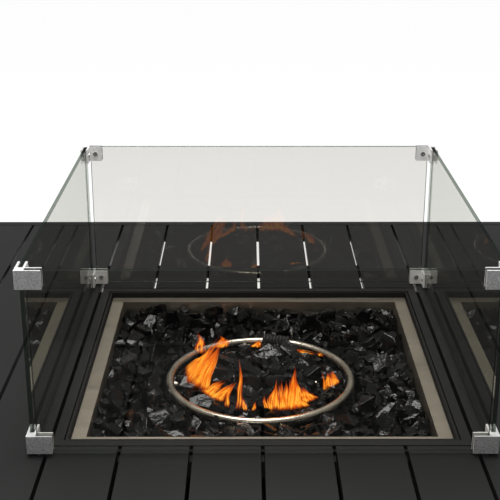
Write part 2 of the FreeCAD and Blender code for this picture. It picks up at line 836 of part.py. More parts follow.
def make_bezel():
    body = new_body("knob_bezel", "0", PANEL_FACE, "control_height", turn=90, turn_axis=(1, 0, 0))
    half_section = new_sketch(body, "bezel_section", "XZ_Plane")
    draw_outline(half_section, [
        ("bezel_bore", "0"), ("bezel_radius", "0"), ("bezel_radius", "bezel_edge"),
        ("bezel_radius - bezel_thick + bezel_edge", "bezel_thick"), ("bezel_bore", "bezel_thick"),
    ])
    revolve(body, half_section)
    node(body, "knob_bezel")


def make_igniter():
    """A push-button spark igniter: a threaded housing and its sprung button."""
    face = f"{PANEL_FACE} - igniter_flange"
    front = ("igniter_x", face, "control_height")
    flange = rod("igniter_flange", "igniter_flange_radius", "igniter_flange", front, "y")
    barrel = rod("igniter_barrel", "igniter_radius", "igniter_length", front, "y")
    bore = rod("igniter_bore", "button_radius + stem_clear", "igniter_bore_depth", front, "y")
    node(cut("igniter_housing", fuse("igniter_solid", flange, barrel), bore), "igniter_housing")

    body = new_body("igniter_button", "igniter_x", f"{face} + button_seat", "control_height",
                    turn=90, turn_axis=(1, 0, 0))
    half_section = new_sketch(body, "button_section", "XZ_Plane")
    draw_outline(half_section, [
        ("0", "0"), ("button_radius", "0"), ("button_radius", "button_length - button_bevel"),
        ("button_radius - button_bevel", "button_length"), ("0", "button_length"),
    ])
    revolve(body, half_section)
    node(body, "igniter_button")


def make_gas_tube():
    """A rigid tube from the valve back under the pan and up into the mixer."""
    body = new_body("gas_tube")
    path = new_sketch(body, "gas_tube_path", "YZ_Plane")
    start = f"{VALVE_BACK} - tube_seat + tube_end_gap"
    top = "table_height - mixer_bottom_drop + tube_in_mixer"
    rough_runs = [((-300, 400), (-60, 400)), ((0, 460), (0, 500))]
    runs = [
        ((start, "control_height"), ("-gas_tube_bend", "control_height")),
        (("0", "control_height + gas_tube_bend"), ("0", top)),
    ]
    draw_bent_path(path, rough_runs, runs)
    doc.recompute()
    section = new_sketch(body, "gas_tube_section", "XZ_Plane", f"-({start})")
    draw_circle(section, "0", "control_height", "gas_tube_radius")
    draw_circle(section, "0", "control_height", "gas_tube_bore")
    doc.recompute()
    pipe = body.newObject("PartDesign::AdditivePipe", "gas_tube_pipe")
    pipe.Profile = section
    pipe.Spine = path
    doc.recompute()
    node(body, "gas_tube")


# ---------------------------------------------------------------- wind guard


GUARD_BOTTOM = "(table_height + guard_foot)"
GUARD_TOP = "(table_height + guard_top)"
CLAMP = "(2 * bracket_plate + bracket_channel)"
GLASS_MID = "(guard_outer - bracket_plate - bracket_channel / 2)"
CORNERS = {"front_left": 0, "front_right": 90, "back_right": 180, "back_left": 270}


def make_bracket(label, turn, bottom):
    """A corner extrusion: two legs, each a channel for a pane, meeting in a solid block."""
    body = new_body(label, z=bottom, turn=turn)
    plan = new_sketch(body, label + "_plan", "XY_Plane")
    edge = "-guard_outer"

    def at(along, across):
        return (f"{edge} + {along}", f"{edge} + {across}")

    leg, block_side = "bracket_leg", CLAMP
    first_wall, second_wall = "bracket_plate", "(bracket_plate + bracket_channel)"
    half = [
        ("0", "0"), (leg, "0"), (leg, first_wall), (block_side, first_wall),
        (block_side, second_wall), (leg, second_wall), (leg, block_side),
    ]
    points = [at(a, b) for a, b in half] + [at(block_side, block_side)]
    points += [at(b, a) for a, b in reversed(half[1:])]
    draw_outline(plan, points)
    pad(body, plan, "bracket_height")
    outer = -value("guard_outer")
    round_edges(body, "Fillet", "bracket_round", lambda e: runs_along(e, 0, 0, 1)
                and abs(e.BoundBox.XMin - outer) < 0.01 and abs(e.BoundBox.YMin - outer) < 0.01)
    return node(body, label)


def make_brackets():
    for corner, turn in CORNERS.items():
        make_bracket(f"bracket_{corner}_bottom", turn, GUARD_BOTTOM)
        make_bracket(f"bracket_{corner}_top", turn, f"{GUARD_TOP} - bracket_height")


def make_panes():
    """Four clear panes with bevelled edges, each held in the channels at its two ends."""
    reach = f"(guard_outer - {CLAMP} - glass_inset)"
    sides = (("glass_front", 0), ("glass_right", 90), ("glass_back", 180), ("glass_left", 270))
    for label, turn in sides:
        body = new_body(label, z=GUARD_BOTTOM, turn=turn)
        front = new_sketch(body, label + "_face", "XZ_Plane", f"{GLASS_MID} - glass_thick / 2")
        draw_box(front, (f"-{reach}", reach), ("glass_inset", "guard_top - guard_foot - glass_top_gap"))
        pad(body, front, "glass_thick")
        round_edges(body, "Chamfer", "glass_bevel", lambda e: not runs_along(e, 0, 1, 0))
        node(body, label)


def turned(obj, turn):
    """Turns a primitive and its formula-bound place about the table's middle."""
    quarter = FreeCAD.Placement(FreeCAD.Vector(), FreeCAD.Rotation(FreeCAD.Vector(0, 0, 1), turn))
    holder = doc.addObject("Part::Compound", obj.Name + "_turned")
    holder.Links = [obj]
    holder.Placement = quarter
    return holder


def make_guard_screw(name, leg, bottom):
    """A clamp screw with a key hole, through a bracket leg's inner wall. leg is x or y."""
    height = f"{bottom} + bracket_height / 2"
    along = "(-guard_outer + bracket_leg - guard_screw_reach)"
    inner = f"(-guard_outer + {CLAMP})"

    def start(across):
        return (along, across, height) if leg == "x" else (across, along, height)

    axis = "y" if leg == "x" else "x"
    head = rod(f"screw_head_{name}", "guard_screw_head", "guard_screw_rise", start(inner), axis)
    shank = rod(f"screw_shank_{name}", "guard_screw_shank", "bracket_plate + guard_screw_bite",
                start(f"{inner} - bracket_plate"), axis)
    key = rod(f"screw_key_{name}", "screw_key_radius", "guard_screw_rise",
              start(f"{inner} + screw_key_floor"), axis)
    return cut(f"screw_{name}", fuse(f"screw_solid_{name}", head, shank), key)


def make_guard_pads(name, leg, bottom):
    """The two rubber pads that hold a pane in one leg's channel."""
    channel = "(-guard_outer + bracket_plate)"
    thick = "((bracket_channel - glass_thick) / 2)"
    end = "(-guard_outer + bracket_leg - pad_inset)"
    along = (f"{end} - pad_length", end)
    zs = (f"{bottom} + pad_margin", f"{bottom} + bracket_height - pad_margin")
    pads = []
    for side, low in (("out", channel), ("in", f"({channel} + {thick} + glass_thick)")):
        across = (low, f"{low} + {thick}")
        xs, ys = (along, across) if leg == "x" else (across, along)
        pads.append(block(f"pad_{name}_{side}", xs, ys, zs))
    return pads


def make_guard_fittings():
    """Clamp screws, rubber pads and bumpers, the same at every corner."""
    screws, pads, bumpers = [], [], []
    clamp_mid, bumper_edge = f"(-guard_outer + {CLAMP} / 2)", "(-guard_outer + bumper_radius)"
    bumper_far = f"{clamp_mid} + bumper_pitch"
    bumper_places = [(clamp_mid, clamp_mid), (bumper_far, bumper_edge), (bumper_edge, bumper_far)]
    for corner, turn in CORNERS.items():
        for level, bottom in (("bottom", GUARD_BOTTOM), ("top", f"({GUARD_TOP} - bracket_height)")):
            for leg in ("x", "y"):
                name = f"{corner}_{level}_{leg}"
                screws.append(turned(make_guard_screw(name, leg, bottom), turn))
                pads += [turned(rubber, turn) for rubber in make_guard_pads(name, leg, bottom)]
        for i, (x, y) in enumerate(bumper_places):
            bumper = rod(f"bumper_{corner}_{i}", "bumper_radius", "guard_foot", (x, y, "table_height"))
            bumpers.append(turned(bumper, turn))
    node(group("guard_screws", screws), "guard_screws")
    node(group("guard_pads", pads), "guard_pads")
    node(group("guard_feet", bumpers), "guard_feet")


# ---------------------------------------------------------------- base cabinet


BASE_TOP = "(table_height - slat_thick - beam_depth - bearer_depth)"
POST_INNER = "(base_half - post_width)"
RAIL_OUTER = "(base_half - panel_setback - panel_thick)"


def make_base_frame():
    posts, glides = [], []
    for i, xs in enumerate(mirrored(POST_INNER, "base_half")):
        for j, ys in enumerate(mirrored(POST_INNER, "base_half")):
            posts.append(box_tube(f"post_{i}{j}", xs, ys, ("glide_height", BASE_TOP), "post_wall", "z"))
            mid = (f"({xs[0]} + {xs[1]}) / 2", f"({ys[0]} + {ys[1]}) / 2")
            pad_part = rod(f"glide_pad_{i}{j}", "glide_radius", "glide_height", (*mid, "0"))
            plug = rod(f"glide_plug_{i}{j}", "post_width / 2 - post_wall - fit_gap", "glide_plug",
                       (*mid, "0"))
            glides.append(fuse(f"glide_{i}{j}", pad_part, plug))
    node(group("corner_posts", posts), "corner_posts")
    node(group("foot_glides", glides), "foot_glides")
    for label, low, high in (("upper_rails", f"{BASE_TOP} - rail_depth", BASE_TOP),
                             ("lower_rails", "glide_height", "glide_height + rail_depth")):
        rails = []
        for i, span in enumerate(mirrored(POST_INNER, RAIL_OUTER)):
            rails.append(box_tube(f"{label}_x_{i}", (f"-{POST_INNER}", POST_INNER), span,
                                  (low, high), "post_wall", "x"))
            rails.append(box_tube(f"{label}_y_{i}", span, (f"-{POST_INNER}", POST_INNER),
                                  (low, high), "post_wall", "y"))
        node(group(label, rails), label)


PANEL_LOW = "(glide_height + panel_reveal)"
PANEL_HIGH = f"({BASE_TOP} - panel_reveal)"
PANEL_HALF = f"({POST_INNER} - panel_gap)"


def make_panel(label, turn):
    """A flat sheet between two posts, over the rails. Turn 0 faces the front."""
    body = new_body(label, turn=turn)
    face = new_sketch(body, label + "_face", "XZ_Plane", "base_half - panel_setback - panel_thick")
    draw_box(face, (f"-{PANEL_HALF}", PANEL_HALF), (PANEL_LOW, PANEL_HIGH))
    pad(body, face, "panel_thick")
    return body


def make_side_panels():
    """Left and right panels with a stack of vent slots."""
    for label, turn in (("panel_right", 90), ("panel_left", 270)):
        body = make_panel(label, turn)
        slot = new_sketch(body, label + "_slot", "XZ_Plane", "base_half")
        low = f"{PANEL_LOW} + rail_depth + louvre_low"
        draw_box(slot, ("-louvre_length / 2", "louvre_length / 2"), (low, f"{low} + louvre_height"))
        slot_cut = pocket(body, slot, "2 * panel_setback + 2 * panel_thick")
        stack = body.newObject("PartDesign::LinearPattern", label + "_slots")
        stack.Originals = [slot_cut]
        stack.Direction = (slot, ["V_Axis"])
        bind(stack, "Length", f"{LOUVRE_COUNT - 1} * louvre_pitch")
        stack.Occurrences = LOUVRE_COUNT
        body.Tip = stack
        doc.recompute()
        node(body, label)


def make_front_panel():
    """The front panel, with holes for the valve's nose and the igniter."""
    body = make_panel("front_panel", 0)
    holes = new_sketch(body, "front_panel_holes", "XZ_Plane", "base_half")
    draw_circle(holes, "0", "control_height", "bezel_bore")
    draw_circle(holes, "igniter_x", "control_height", "igniter_radius + stem_clear")
    pocket(body, holes, "2 * panel_setback + 2 * panel_thick")
    node(body, "front_panel")


def make_floor_tray():
    top = "glide_height + rail_depth / 2"
    plate = block("tray_plate", (f"-{POST_INNER}", POST_INNER), (f"-{POST_INNER}", POST_INNER),
                  (top, f"{top} + tray_thick"))
    places = [(x, y) for x in ("-tray_vent_place", "tray_vent_place")
              for y in ("-tray_vent_place", "tray_vent_place")]
    vents = [rod(f"tray_vent_{i}", "tray_vent_radius", "tray_thick + 2 * cut_over",
                 (x, y, f"{top} - cut_over")) for i, (x, y) in enumerate(places)]
    node(cut("floor_tray", plate, fuse("tray_vents", *vents)), "floor_tray")


DOOR_LOW = "(glide_height + rail_depth + door_gap)"
DOOR_HIGH = f"({BASE_TOP} - rail_depth - door_gap)"
DOOR_HALF = f"({POST_INNER} - door_gap)"
HINGE_X = "(-base_half + post_width - door_gap / 2)"
HINGE_Y = "(base_half + hinge_standoff)"
HANDLE_X = f"({DOOR_HALF} - handle_inset)"
DOOR_MID = f"(({DOOR_LOW} + {DOOR_HIGH}) / 2)"


def make_tank_door():
    """A folded door pan, open on the inside, with a rim all round."""
    body = new_body("tank_door")
    face = new_sketch(body, "door_face", "XZ_Plane", "-base_half")
    draw_box(face, (f"-{DOOR_HALF}", DOOR_HALF), (DOOR_LOW, DOOR_HIGH))
    pad(body, face, "door_depth")
    inside = new_sketch(body, "door_inside", "XZ_Plane", "-base_half + door_sheet")
    draw_box(inside, (f"-{DOOR_HALF} + door_sheet", f"{DOOR_HALF} - door_sheet"),
             (f"{DOOR_LOW} + door_sheet", f"{DOOR_HIGH} - door_sheet"))
    pocket(body, inside, "door_depth", reversed_=True)
    node(body, "tank_door")


def make_door_handle():
    """A bent bar handle on the door's free side."""
    body = new_body("door_handle", HANDLE_X, "base_half", DOOR_MID)
    path = new_sketch(body, "handle_path", "YZ_Plane")
    out, half, bend = "handle_standoff", "handle_length / 2", "handle_bend"
    rough_runs = [((0, -80), (20, -80)), ((34, -66), (34, 66)), ((20, 80), (0, 80))]
    runs = [
        (("0", f"-{half}"), (f"{out} - {bend}", f"-{half}")),
        ((out, f"-{half} + {bend}"), (out, f"{half} - {bend}")),
        ((f"{out} - {bend}", half), ("0", half)),
    ]
    draw_bent_path(path, rough_runs, runs)
    doc.recompute()
    section = new_sketch(body, "handle_section", "XZ_Plane")
    draw_circle(section, "0", f"-{half}", "handle_radius")
    doc.recompute()
    pipe = body.newObject("PartDesign::AdditivePipe", "handle_bar")
    pipe.Profile = section
    pipe.Spine = path
    doc.recompute()
    node(body, "door_handle")


def knuckle(name, low, high):
    """One hinge knuckle on the door's axis, still without its bore."""
    return rod(name, "hinge_barrel", f"({high}) - ({low})", (HINGE_X, HINGE_Y, low))


def make_hinges():
    """Two butt hinges: leaves on the post, leaves on the door, and their pins."""
    frame_leaves, door_leaves, pins = [], [], []
    plate_ys = ("base_half", "base_half + hinge_plate")
    for place, mid in (("low", f"({DOOR_LOW} + hinge_inset)"), ("high", f"({DOOR_HIGH} - hinge_inset)")):
        low, high = f"({mid} - hinge_height / 2)", f"({mid} + hinge_height / 2)"
        split_low, split_high = f"({mid} - hinge_height / 6)", f"({mid} + hinge_height / 6)"
        arm_low, arm_high = f"({split_low} - knuckle_gap)", f"({split_high} + knuckle_gap)"
        bore = rod(f"hinge_bore_{place}", "hinge_pin + stem_clear", "hinge_height", (HINGE_X, HINGE_Y, low))
        frame_plate = block(f"frame_plate_{place}",
                            (f"{HINGE_X} - hinge_leaf", f"{HINGE_X} - post_leaf_gap"), plate_ys, (low, high))
        frame_arms = [
            block(f"frame_arm_{place}_{i}", (f"{HINGE_X} - post_arm_reach", f"{HINGE_X} - arm_root"),
                  plate_ys, zs)
            for i, zs in enumerate(((low, arm_low), (arm_high, high)))
        ]
        frame_solid = fuse(
            f"frame_leaf_solid_{place}", frame_plate, *frame_arms,
            knuckle(f"frame_knuckle_a_{place}", low, arm_low),
            knuckle(f"frame_knuckle_b_{place}", arm_high, high),
        )
        frame_leaves.append(cut(f"frame_leaf_{place}", frame_solid, bore))
        door_plate = block(f"door_plate_{place}", (f"{HINGE_X} + door_leaf_gap", f"{HINGE_X} + hinge_leaf"),
                           plate_ys, (low, high))
        door_arm = block(f"door_arm_{place}", (f"{HINGE_X} + arm_root", f"{HINGE_X} + door_arm_reach"),
                         plate_ys, (split_low, split_high))
        door_solid = fuse(f"door_leaf_solid_{place}", door_plate, door_arm,
                          knuckle(f"door_knuckle_{place}", split_low, split_high))
        door_bore = rod(f"door_bore_{place}", "hinge_pin + stem_clear", "hinge_height",
                        (HINGE_X, HINGE_Y, low))
        door_leaves.append(cut(f"door_leaf_{place}", door_solid, door_bore))
        pins.append(fuse(
            f"pin_{place}",
            rod(f"pin_shaft_{place}", "hinge_pin", "hinge_height", (HINGE_X, HINGE_Y, low)),
            rod(f"pin_head_{place}", "hinge_barrel", "pin_head", (HINGE_X, HINGE_Y, high)),
        ))
    node(group("hinge_frame_leaves", frame_leaves), "hinge_frame_leaves")
    node(group("hinge_door_leaves", door_leaves), "hinge_door_leaves")
    node(group("hinge_pins", pins), "hinge_pins")


def make_catch():
    """A magnet under the upper rail, and the steel block inside the door that meets it."""
    xs = (f"{HANDLE_X} - catch_width / 2", f"{HANDLE_X} + catch_width / 2")
    high = f"({BASE_TOP} - rail_depth)"
    plate_inner = "(base_half - door_depth)"
    magnet_y = (f"{plate_inner} - catch_gap - catch_depth", f"{plate_inner} - catch_gap")
    node(block("catch_magnet", xs, magnet_y, (f"{high} - catch_height", high)), "catch_magnet")
    plate_zs = (f"{DOOR_HIGH} - door_sheet - catch_height", f"{DOOR_HIGH} - door_sheet")
    node(block("catch_plate", xs, (plate_inner, "base_half - door_sheet"), plate_zs), "catch_plate")


def make_panel_screws():
    """Pan-head screws through the front and side panels into the rails."""
    screws = []
    xs = (f"-{PANEL_HALF} + panel_screw_inset", f"{PANEL_HALF} - panel_screw_inset")
    zs = (f"{PANEL_LOW} + panel_screw_inset", f"{PANEL_HIGH} - panel_screw_inset")
    for side, turn in (("front", 0), ("right", 90), ("left", 270)):
        for i, x in enumerate(xs):
            for j, z in enumerate(zs):
                name = f"{side}_{i}{j}"
                head = rod(f"panel_head_{name}", "panel_screw_head", "panel_screw_rise",
                           (x, f"{PANEL_FACE} - panel_screw_rise", z), "y")
                shank = rod(f"panel_shank_{name}", "panel_screw_shank", "panel_screw_length",
                            (x, f"{PANEL_FACE} - cut_over", z), "y")
                screws.append(turned(fuse(f"panel_screw_{name}", head, shank), turn))
    node(group("panel_screws", screws), "panel_screws")


# ---------------------------------------------------------------- build, check and write


def build():
    make_rims()
    make_slats()
    make_pit_frame()
    make_beams()
    make_pan_support()
    make_burner_pan()
    make_burner_ring()
    make_locknut()
    make_air_mixer()
    make_fire_glass()
    make_pilot_group()
    make_gas_valve()
    make_valve_stem()
    make_knob()
    make_bezel()
    make_igniter()
    make_gas_tube()
    make_brackets()
    make_panes()
    make_guard_fittings()
    make_base_frame()
    make_side_panels()
    make_front_panel()
    make_floor_tray()
    make_tank_door()
    make_door_handle()
    make_hinges()
    make_catch()
    make_panel_screws()
    doc.recompute()


def check():
    """Stops if any object of the document failed, or any sub-part has no sound shape."""
    for obj in doc.Objects:
        if "Invalid" in obj.State or "Error" in obj.State:
            raise RuntimeError(f"{obj.Name} failed: {obj.State}")
    labels = [obj.Label for obj in nodes]
    if len(set(labels)) != len(labels):
        raise RuntimeError("two sub-parts share a label")
    for obj in nodes:
        if obj.Shape.isNull() or not obj.Shape.isValid() or not obj.Shape.Solids:
            raise RuntimeError(f"{obj.Label} has no valid solid")


def write_steps():
    os.makedirs("parts", exist_ok=True)
    for obj in nodes:
        obj.Shape.exportStep(f"parts/{obj.Label}.step")
        box = obj.Shape.BoundBox
        print(f"{obj.Label}: {len(obj.Shape.Solids)} solids, {obj.Shape.Volume:.0f} mm3, "
              f"x {box.XMin:.1f} {box.XMax:.1f}, y {box.YMin:.1f} {box.YMax:.1f}, "
              f"z {box.ZMin:.1f} {box.ZMax:.1f}")


build()
check()
write_steps()
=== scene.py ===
"""Looks of the square gas fire table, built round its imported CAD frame.

Metres, +Z up, -Y the front. The pan, the ring and the hood are found from the frame's own boxes.
The flames, twelve of the chunks, the stage and the camera are placed by numbers.
"""

import itertools
import math
import random

import bmesh
import bpy
import numpy as np
from mathutils import Euler, Matrix, Vector, noise


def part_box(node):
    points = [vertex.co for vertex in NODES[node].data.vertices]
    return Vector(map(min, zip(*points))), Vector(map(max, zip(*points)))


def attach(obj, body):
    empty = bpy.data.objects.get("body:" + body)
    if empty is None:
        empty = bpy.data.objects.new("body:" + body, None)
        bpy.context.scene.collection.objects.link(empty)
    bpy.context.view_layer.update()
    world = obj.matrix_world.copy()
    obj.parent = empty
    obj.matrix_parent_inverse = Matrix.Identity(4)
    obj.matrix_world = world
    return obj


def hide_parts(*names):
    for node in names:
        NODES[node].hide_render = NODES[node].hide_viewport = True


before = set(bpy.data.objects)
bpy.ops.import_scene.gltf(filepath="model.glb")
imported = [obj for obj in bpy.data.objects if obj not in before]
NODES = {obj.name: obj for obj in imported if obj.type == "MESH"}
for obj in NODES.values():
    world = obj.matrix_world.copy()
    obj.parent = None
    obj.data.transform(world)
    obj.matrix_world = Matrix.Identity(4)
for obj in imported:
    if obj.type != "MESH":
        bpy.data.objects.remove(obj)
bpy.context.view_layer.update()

TABLE = "table"

TOP_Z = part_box("rim_back")[1].z                  # the tabletop's upper face
BED_LOW, BED_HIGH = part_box("fire_glass")
HOOD_LOW, HOOD_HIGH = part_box("pilot_hood")
RING_LOW, RING_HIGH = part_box("burner_ring")
RING_TUBE = 0.0065                               # the ring tube's radius
RING_RADIUS = (RING_HIGH.x - RING_LOW.x) / 2 - RING_TUBE
RING_Z = RING_HIGH.z - RING_TUBE


# ---------------------------------------------------------------- shader helpers

class Shader:
    """A node material while it is being wired up."""

    def __init__(self, name):
        self.material = bpy.data.materials.new(name)
        self.material.use_nodes = True
        self.tree = self.material.node_tree
        self.tree.nodes.clear()
        self.place = self.add("ShaderNodeTexCoord").outputs["Object"]

    def add(self, kind, inputs=None, **settings):
        """A new node. inputs gives a constant or another node's socket for each named socket."""
        made = self.tree.nodes.new(kind)
        for key, value in settings.items():
            setattr(made, key, value)
        for key, value in (inputs or {}).items():
            if isinstance(value, bpy.types.NodeSocket):
                self.tree.links.new(value, made.inputs[key])
            else:
                made.inputs[key].default_value = value
        return made

    def noise(self, scale, detail=2.0, stretch=(1, 1, 1), source=None):
        """A noise value, drawn out along the axes whose stretch is small."""
        where = self.add("ShaderNodeMapping", {"Vector": source or self.place, "Scale": stretch})
        made = self.add("ShaderNodeTexNoise", {
            "Vector": where.outputs[0], "Scale": scale, "Detail": detail})
        return made.outputs["Fac"]

    def attribute(self, name):
        return self.add("ShaderNodeAttribute", attribute_name=name).outputs["Fac"]

    def math(self, operation, first, second=0.0, clamp=False):
        made = self.add("ShaderNodeMath", {0: first, 1: second}, operation=operation)
        made.use_clamp = clamp
        return made.outputs[0]

    def spread(self, value, low, high, to_low, to_high):
        """value from low..high is spread over to_low..to_high, smoothly, and clamped."""
        made = self.add("ShaderNodeMapRange", {
            "Value": value, "From Min": low, "From Max": high, "To Min": to_low, "To Max": to_high},
            interpolation_type="SMOOTHSTEP")
        return made.outputs[0]

    def ramp(self, value, stops):
        """A colour for value, from (position, (r, g, b)) stops."""
        made = self.add("ShaderNodeValToRGB", {"Fac": value})
        points = made.color_ramp.elements
        while len(points) < len(stops):
            points.new(0.5)
        for point, (position, colour) in zip(points, stops):
            point.position = position
            point.color = (*colour, 1)
        return made.outputs["Color"]

    def mix(self, factor, first, second):
        """A colour between first and second."""
        made = self.add("ShaderNodeMix", data_type="RGBA")
        sockets = [s for s in made.inputs if s.type == "RGBA"]
        for socket, value in ((made.inputs[0], factor), (sockets[0], first), (sockets[1], second)):
            if isinstance(value, bpy.types.NodeSocket):
                self.tree.links.new(value, socket)
            else:
                socket.default_value = value if isinstance(value, float) else (*value[:3], 1)
        return next(s for s in made.outputs if s.type == "RGBA")

    def bump(self, height, depth, strength=1.0, under=None):
        """A normal from height; depth is the relief's size in metres."""
        inputs = {"Height": height, "Distance": depth, "Strength": strength}
        if under is not None:
            inputs["Normal"] = under
        return self.add("ShaderNodeBump", inputs).outputs[0]

    def finish(self, surface):
        output = self.add("ShaderNodeOutputMaterial")
        self.tree.links.new(surface, output.inputs["Surface"])
        return self.material

    def principled(self, **inputs):
        """A Principled surface; a word's underscores stand for the spaces in a socket's name."""
        named = {key.replace("_", " "): value for key, value in inputs.items()}
        return self.finish(self.add("ShaderNodeBsdfPrincipled", named).outputs[0])


def shade(value, colour):
    """The colour scaled by value."""
    return tuple(value * part for part in colour)


# ---------------------------------------------------------------- materials

BRUSH_STRETCH = 0.015          # brush lines are drawn out to 1 / this of their width


def coated(name, colour, roughness, specular):
    """Powder coat: a very fine sprayed texture with a faint cloudiness."""
    s = Shader(name)
    cloud = s.noise(5.0, 3.0)
    grit = s.noise(1400.0, 1.0)
    base = s.mix(cloud, shade(0.86, colour), shade(1.14, colour))
    rough = s.spread(cloud, 0.3, 0.7, roughness - 0.05, roughness + 0.05)
    return s.principled(
        Base_Color=base, Roughness=rough, Specular_IOR_Level=specular,
        Normal=s.bump(grit, 0.0001, 0.5))


def brushed(name, colour, roughness, along, tint):
    """Brushed sheet metal, stained towards tint. along is the brush's axis, 0, 1 or 2."""
    s = Shader(name)
    stretch = [1.0, 1.0, 1.0]
    stretch[along] = BRUSH_STRETCH
    lines = s.noise(900.0, 2.0, tuple(stretch))
    stain = s.noise(9.0, 3.0)
    base = s.mix(stain, colour, tint)
    grain = s.mix(lines, shade(0.8, (1, 1, 1)), (1, 1, 1))
    tone = s.add("ShaderNodeMix", data_type="RGBA", blend_type="MULTIPLY")
    pair = [x for x in tone.inputs if x.type == "RGBA"]
    tone.inputs[0].default_value = 1.0
    s.tree.links.new(base, pair[0])
    s.tree.links.new(grain, pair[1])
    colour_out = next(x for x in tone.outputs if x.type == "RGBA")
    return s.principled(
        Base_Color=colour_out, Metallic=1.0,
        Roughness=s.spread(lines, 0.3, 0.7, roughness - 0.06, roughness + 0.08),
        Normal=s.bump(lines, 0.00008, 0.35))


def smooth_metal(name, colour, roughness, metallic=1.0, marks=0.00006):
    """Drawn or machined metal with faint handling marks."""
    s = Shader(name)
    marks_value = s.noise(260.0, 4.0)
    blotch = s.noise(22.0, 3.0)
    return s.principled(
        Base_Color=s.mix(blotch, shade(0.86, colour), shade(1.08, colour)), Metallic=metallic,
        Roughness=s.spread(blotch, 0.3, 0.7, roughness - 0.05, roughness + 0.07),
        Normal=s.bump(marks_value, marks, 0.4))


def bracket_metal():
    """Aluminium corners: blasted outer faces; the faces that look toward the middle are painted
    near-white, smooth and hardly metallic, a painted sheen; the machined ends are lighter, partly by their
    finish and partly as a painted highlight from above.
    """
    s = Shader("bracket_aluminium")
    sparkle = s.noise(1500.0, 1.0)
    coarse = s.noise(420.0, 2.0)
    grain = s.math("ADD", s.math("MULTIPLY", sparkle, 0.6), s.math("MULTIPLY", coarse, 0.4))
    blasted = s.ramp(grain, [
        (0.34, (0.26, 0.26, 0.26)), (0.5, (0.5, 0.5, 0.5)), (0.68, (0.8, 0.8, 0.79))])
    place = s.add("ShaderNodeSeparateXYZ", {0: s.place}).outputs
    flat = s.add("ShaderNodeCombineXYZ", {0: place[0], 1: place[1]}).outputs[0]
    normal = s.add("ShaderNodeTexCoord").outputs["Normal"]
    outward = s.add("ShaderNodeVectorMath", {0: flat, 1: normal}, operation="DOT_PRODUCT")
    # Faces that look toward the middle: painted near-white with hardly any metal or relief, a painted
    # sheen.
    inner_painted_sheen = s.math("LESS_THAN", outward.outputs["Value"], 0.0)
    upright = s.add("ShaderNodeSeparateXYZ", {0: normal}).outputs[2]
    # Up- and down-facing ends: machined, and their lighter colour is partly a painted highlight from the
    # lamp above.
    cut_end_highlight = s.spread(s.math("ABSOLUTE", upright), 0.8, 0.95, 0.0, 1.0)
    sides = s.mix(inner_painted_sheen, blasted, (0.95, 0.95, 0.94))
    relief = s.math("MULTIPLY", grain, s.math("SUBTRACT", 1.0, s.math("MULTIPLY", inner_painted_sheen, 0.9)))
    metal = s.spread(cut_end_highlight, 0.0, 1.0, 0.75, 0.35)
    rough = s.spread(cut_end_highlight, 0.0, 1.0, 0.55, 0.35)
    return s.principled(
        Base_Color=s.mix(cut_end_highlight, sides, (0.88, 0.88, 0.87)),
        Metallic=s.math("SUBTRACT", metal, s.math("MULTIPLY", inner_painted_sheen, 0.7), clamp=True),
        Roughness=s.math("SUBTRACT", rough, s.math("MULTIPLY", inner_painted_sheen, 0.1)),
        Normal=s.bump(relief, 0.00015, 0.5))


def pane_glass(name, face_axis):
    """Clear glass whose broad faces look along face_axis, with grey ground edges.

    The gloss stands for both surfaces of the pane, and is laid on where a ray comes in. Its
    colour and the tint were set to match the photo's tones."""
    s = Shader(name)
    geometry = s.add("ShaderNodeNewGeometry").outputs
    fresnel = s.add("ShaderNodeFresnel", {"IOR": 1.5}).outputs[0]
    both = s.math("DIVIDE", s.math("MULTIPLY", fresnel, 2.0), s.math("ADD", fresnel, 1.0))
    coming_in = s.math("SUBTRACT", 1.0, geometry["Backfacing"])
    see_through = s.add("ShaderNodeBsdfTransparent", {"Color": (0.885, 0.88, 0.862, 1)})
    gloss = s.add("ShaderNodeBsdfGlossy", {"Color": (0.71, 0.73, 0.7, 1), "Roughness": 0.0})
    face = s.add("ShaderNodeMixShader", {
        0: s.math("MULTIPLY", both, coming_in), 1: see_through.outputs[0], 2: gloss.outputs[0]})
    grind = s.noise(300.0, 2.0)
    dim = s.add("ShaderNodeBsdfTransparent", {
        "Color": s.mix(grind, (0.21, 0.235, 0.21), (0.32, 0.36, 0.32))})
    frost = s.add("ShaderNodeBsdfGlossy", {
        "Color": (0.8, 0.9, 0.85, 1), "Roughness": 0.3, "Normal": s.bump(grind, 0.0001, 0.4)})
    edge = s.add("ShaderNodeMixShader", {0: 0.05, 1: dim.outputs[0], 2: frost.outputs[0]})
    toward = s.add("ShaderNodeSeparateXYZ", {0: geometry["Normal"]}).outputs[face_axis]
    broad = s.math("GREATER_THAN", s.math("ABSOLUTE", toward), 0.9)
    whole = s.add("ShaderNodeMixShader", {0: broad, 1: edge.outputs[0], 2: face.outputs[0]})
    return s.finish(whole.outputs[0])


def rubbery(name, colour, roughness):
    """Moulded rubber or plastic with a fine spark-eroded grain."""
    s = Shader(name)
    grain = s.noise(700.0, 3.0)
    return s.principled(
        Base_Color=s.mix(grain, shade(0.8, colour), shade(1.2, colour)),
        Roughness=s.spread(grain, 0.3, 0.7, roughness - 0.06, roughness + 0.06),
        Specular_IOR_Level=0.4, Normal=s.bump(grain, 0.00008, 0.5))


def scorched():
    """Mild steel blackened by the flame, with rust-brown patches."""
    s = Shader("black_steel")
    patch = s.noise(90.0, 5.0)
    colour = s.ramp(patch, [
        (0.35, (0.005, 0.0045, 0.0045)), (0.55, (0.012, 0.01, 0.009)), (0.75, (0.035, 0.018, 0.012))])
    return s.principled(
        Base_Color=colour, Roughness=s.spread(patch, 0.3, 0.7, 0.45, 0.75),
        Specular_IOR_Level=0.3, Normal=s.bump(s.noise(500.0, 3.0), 0.0003, 0.6))


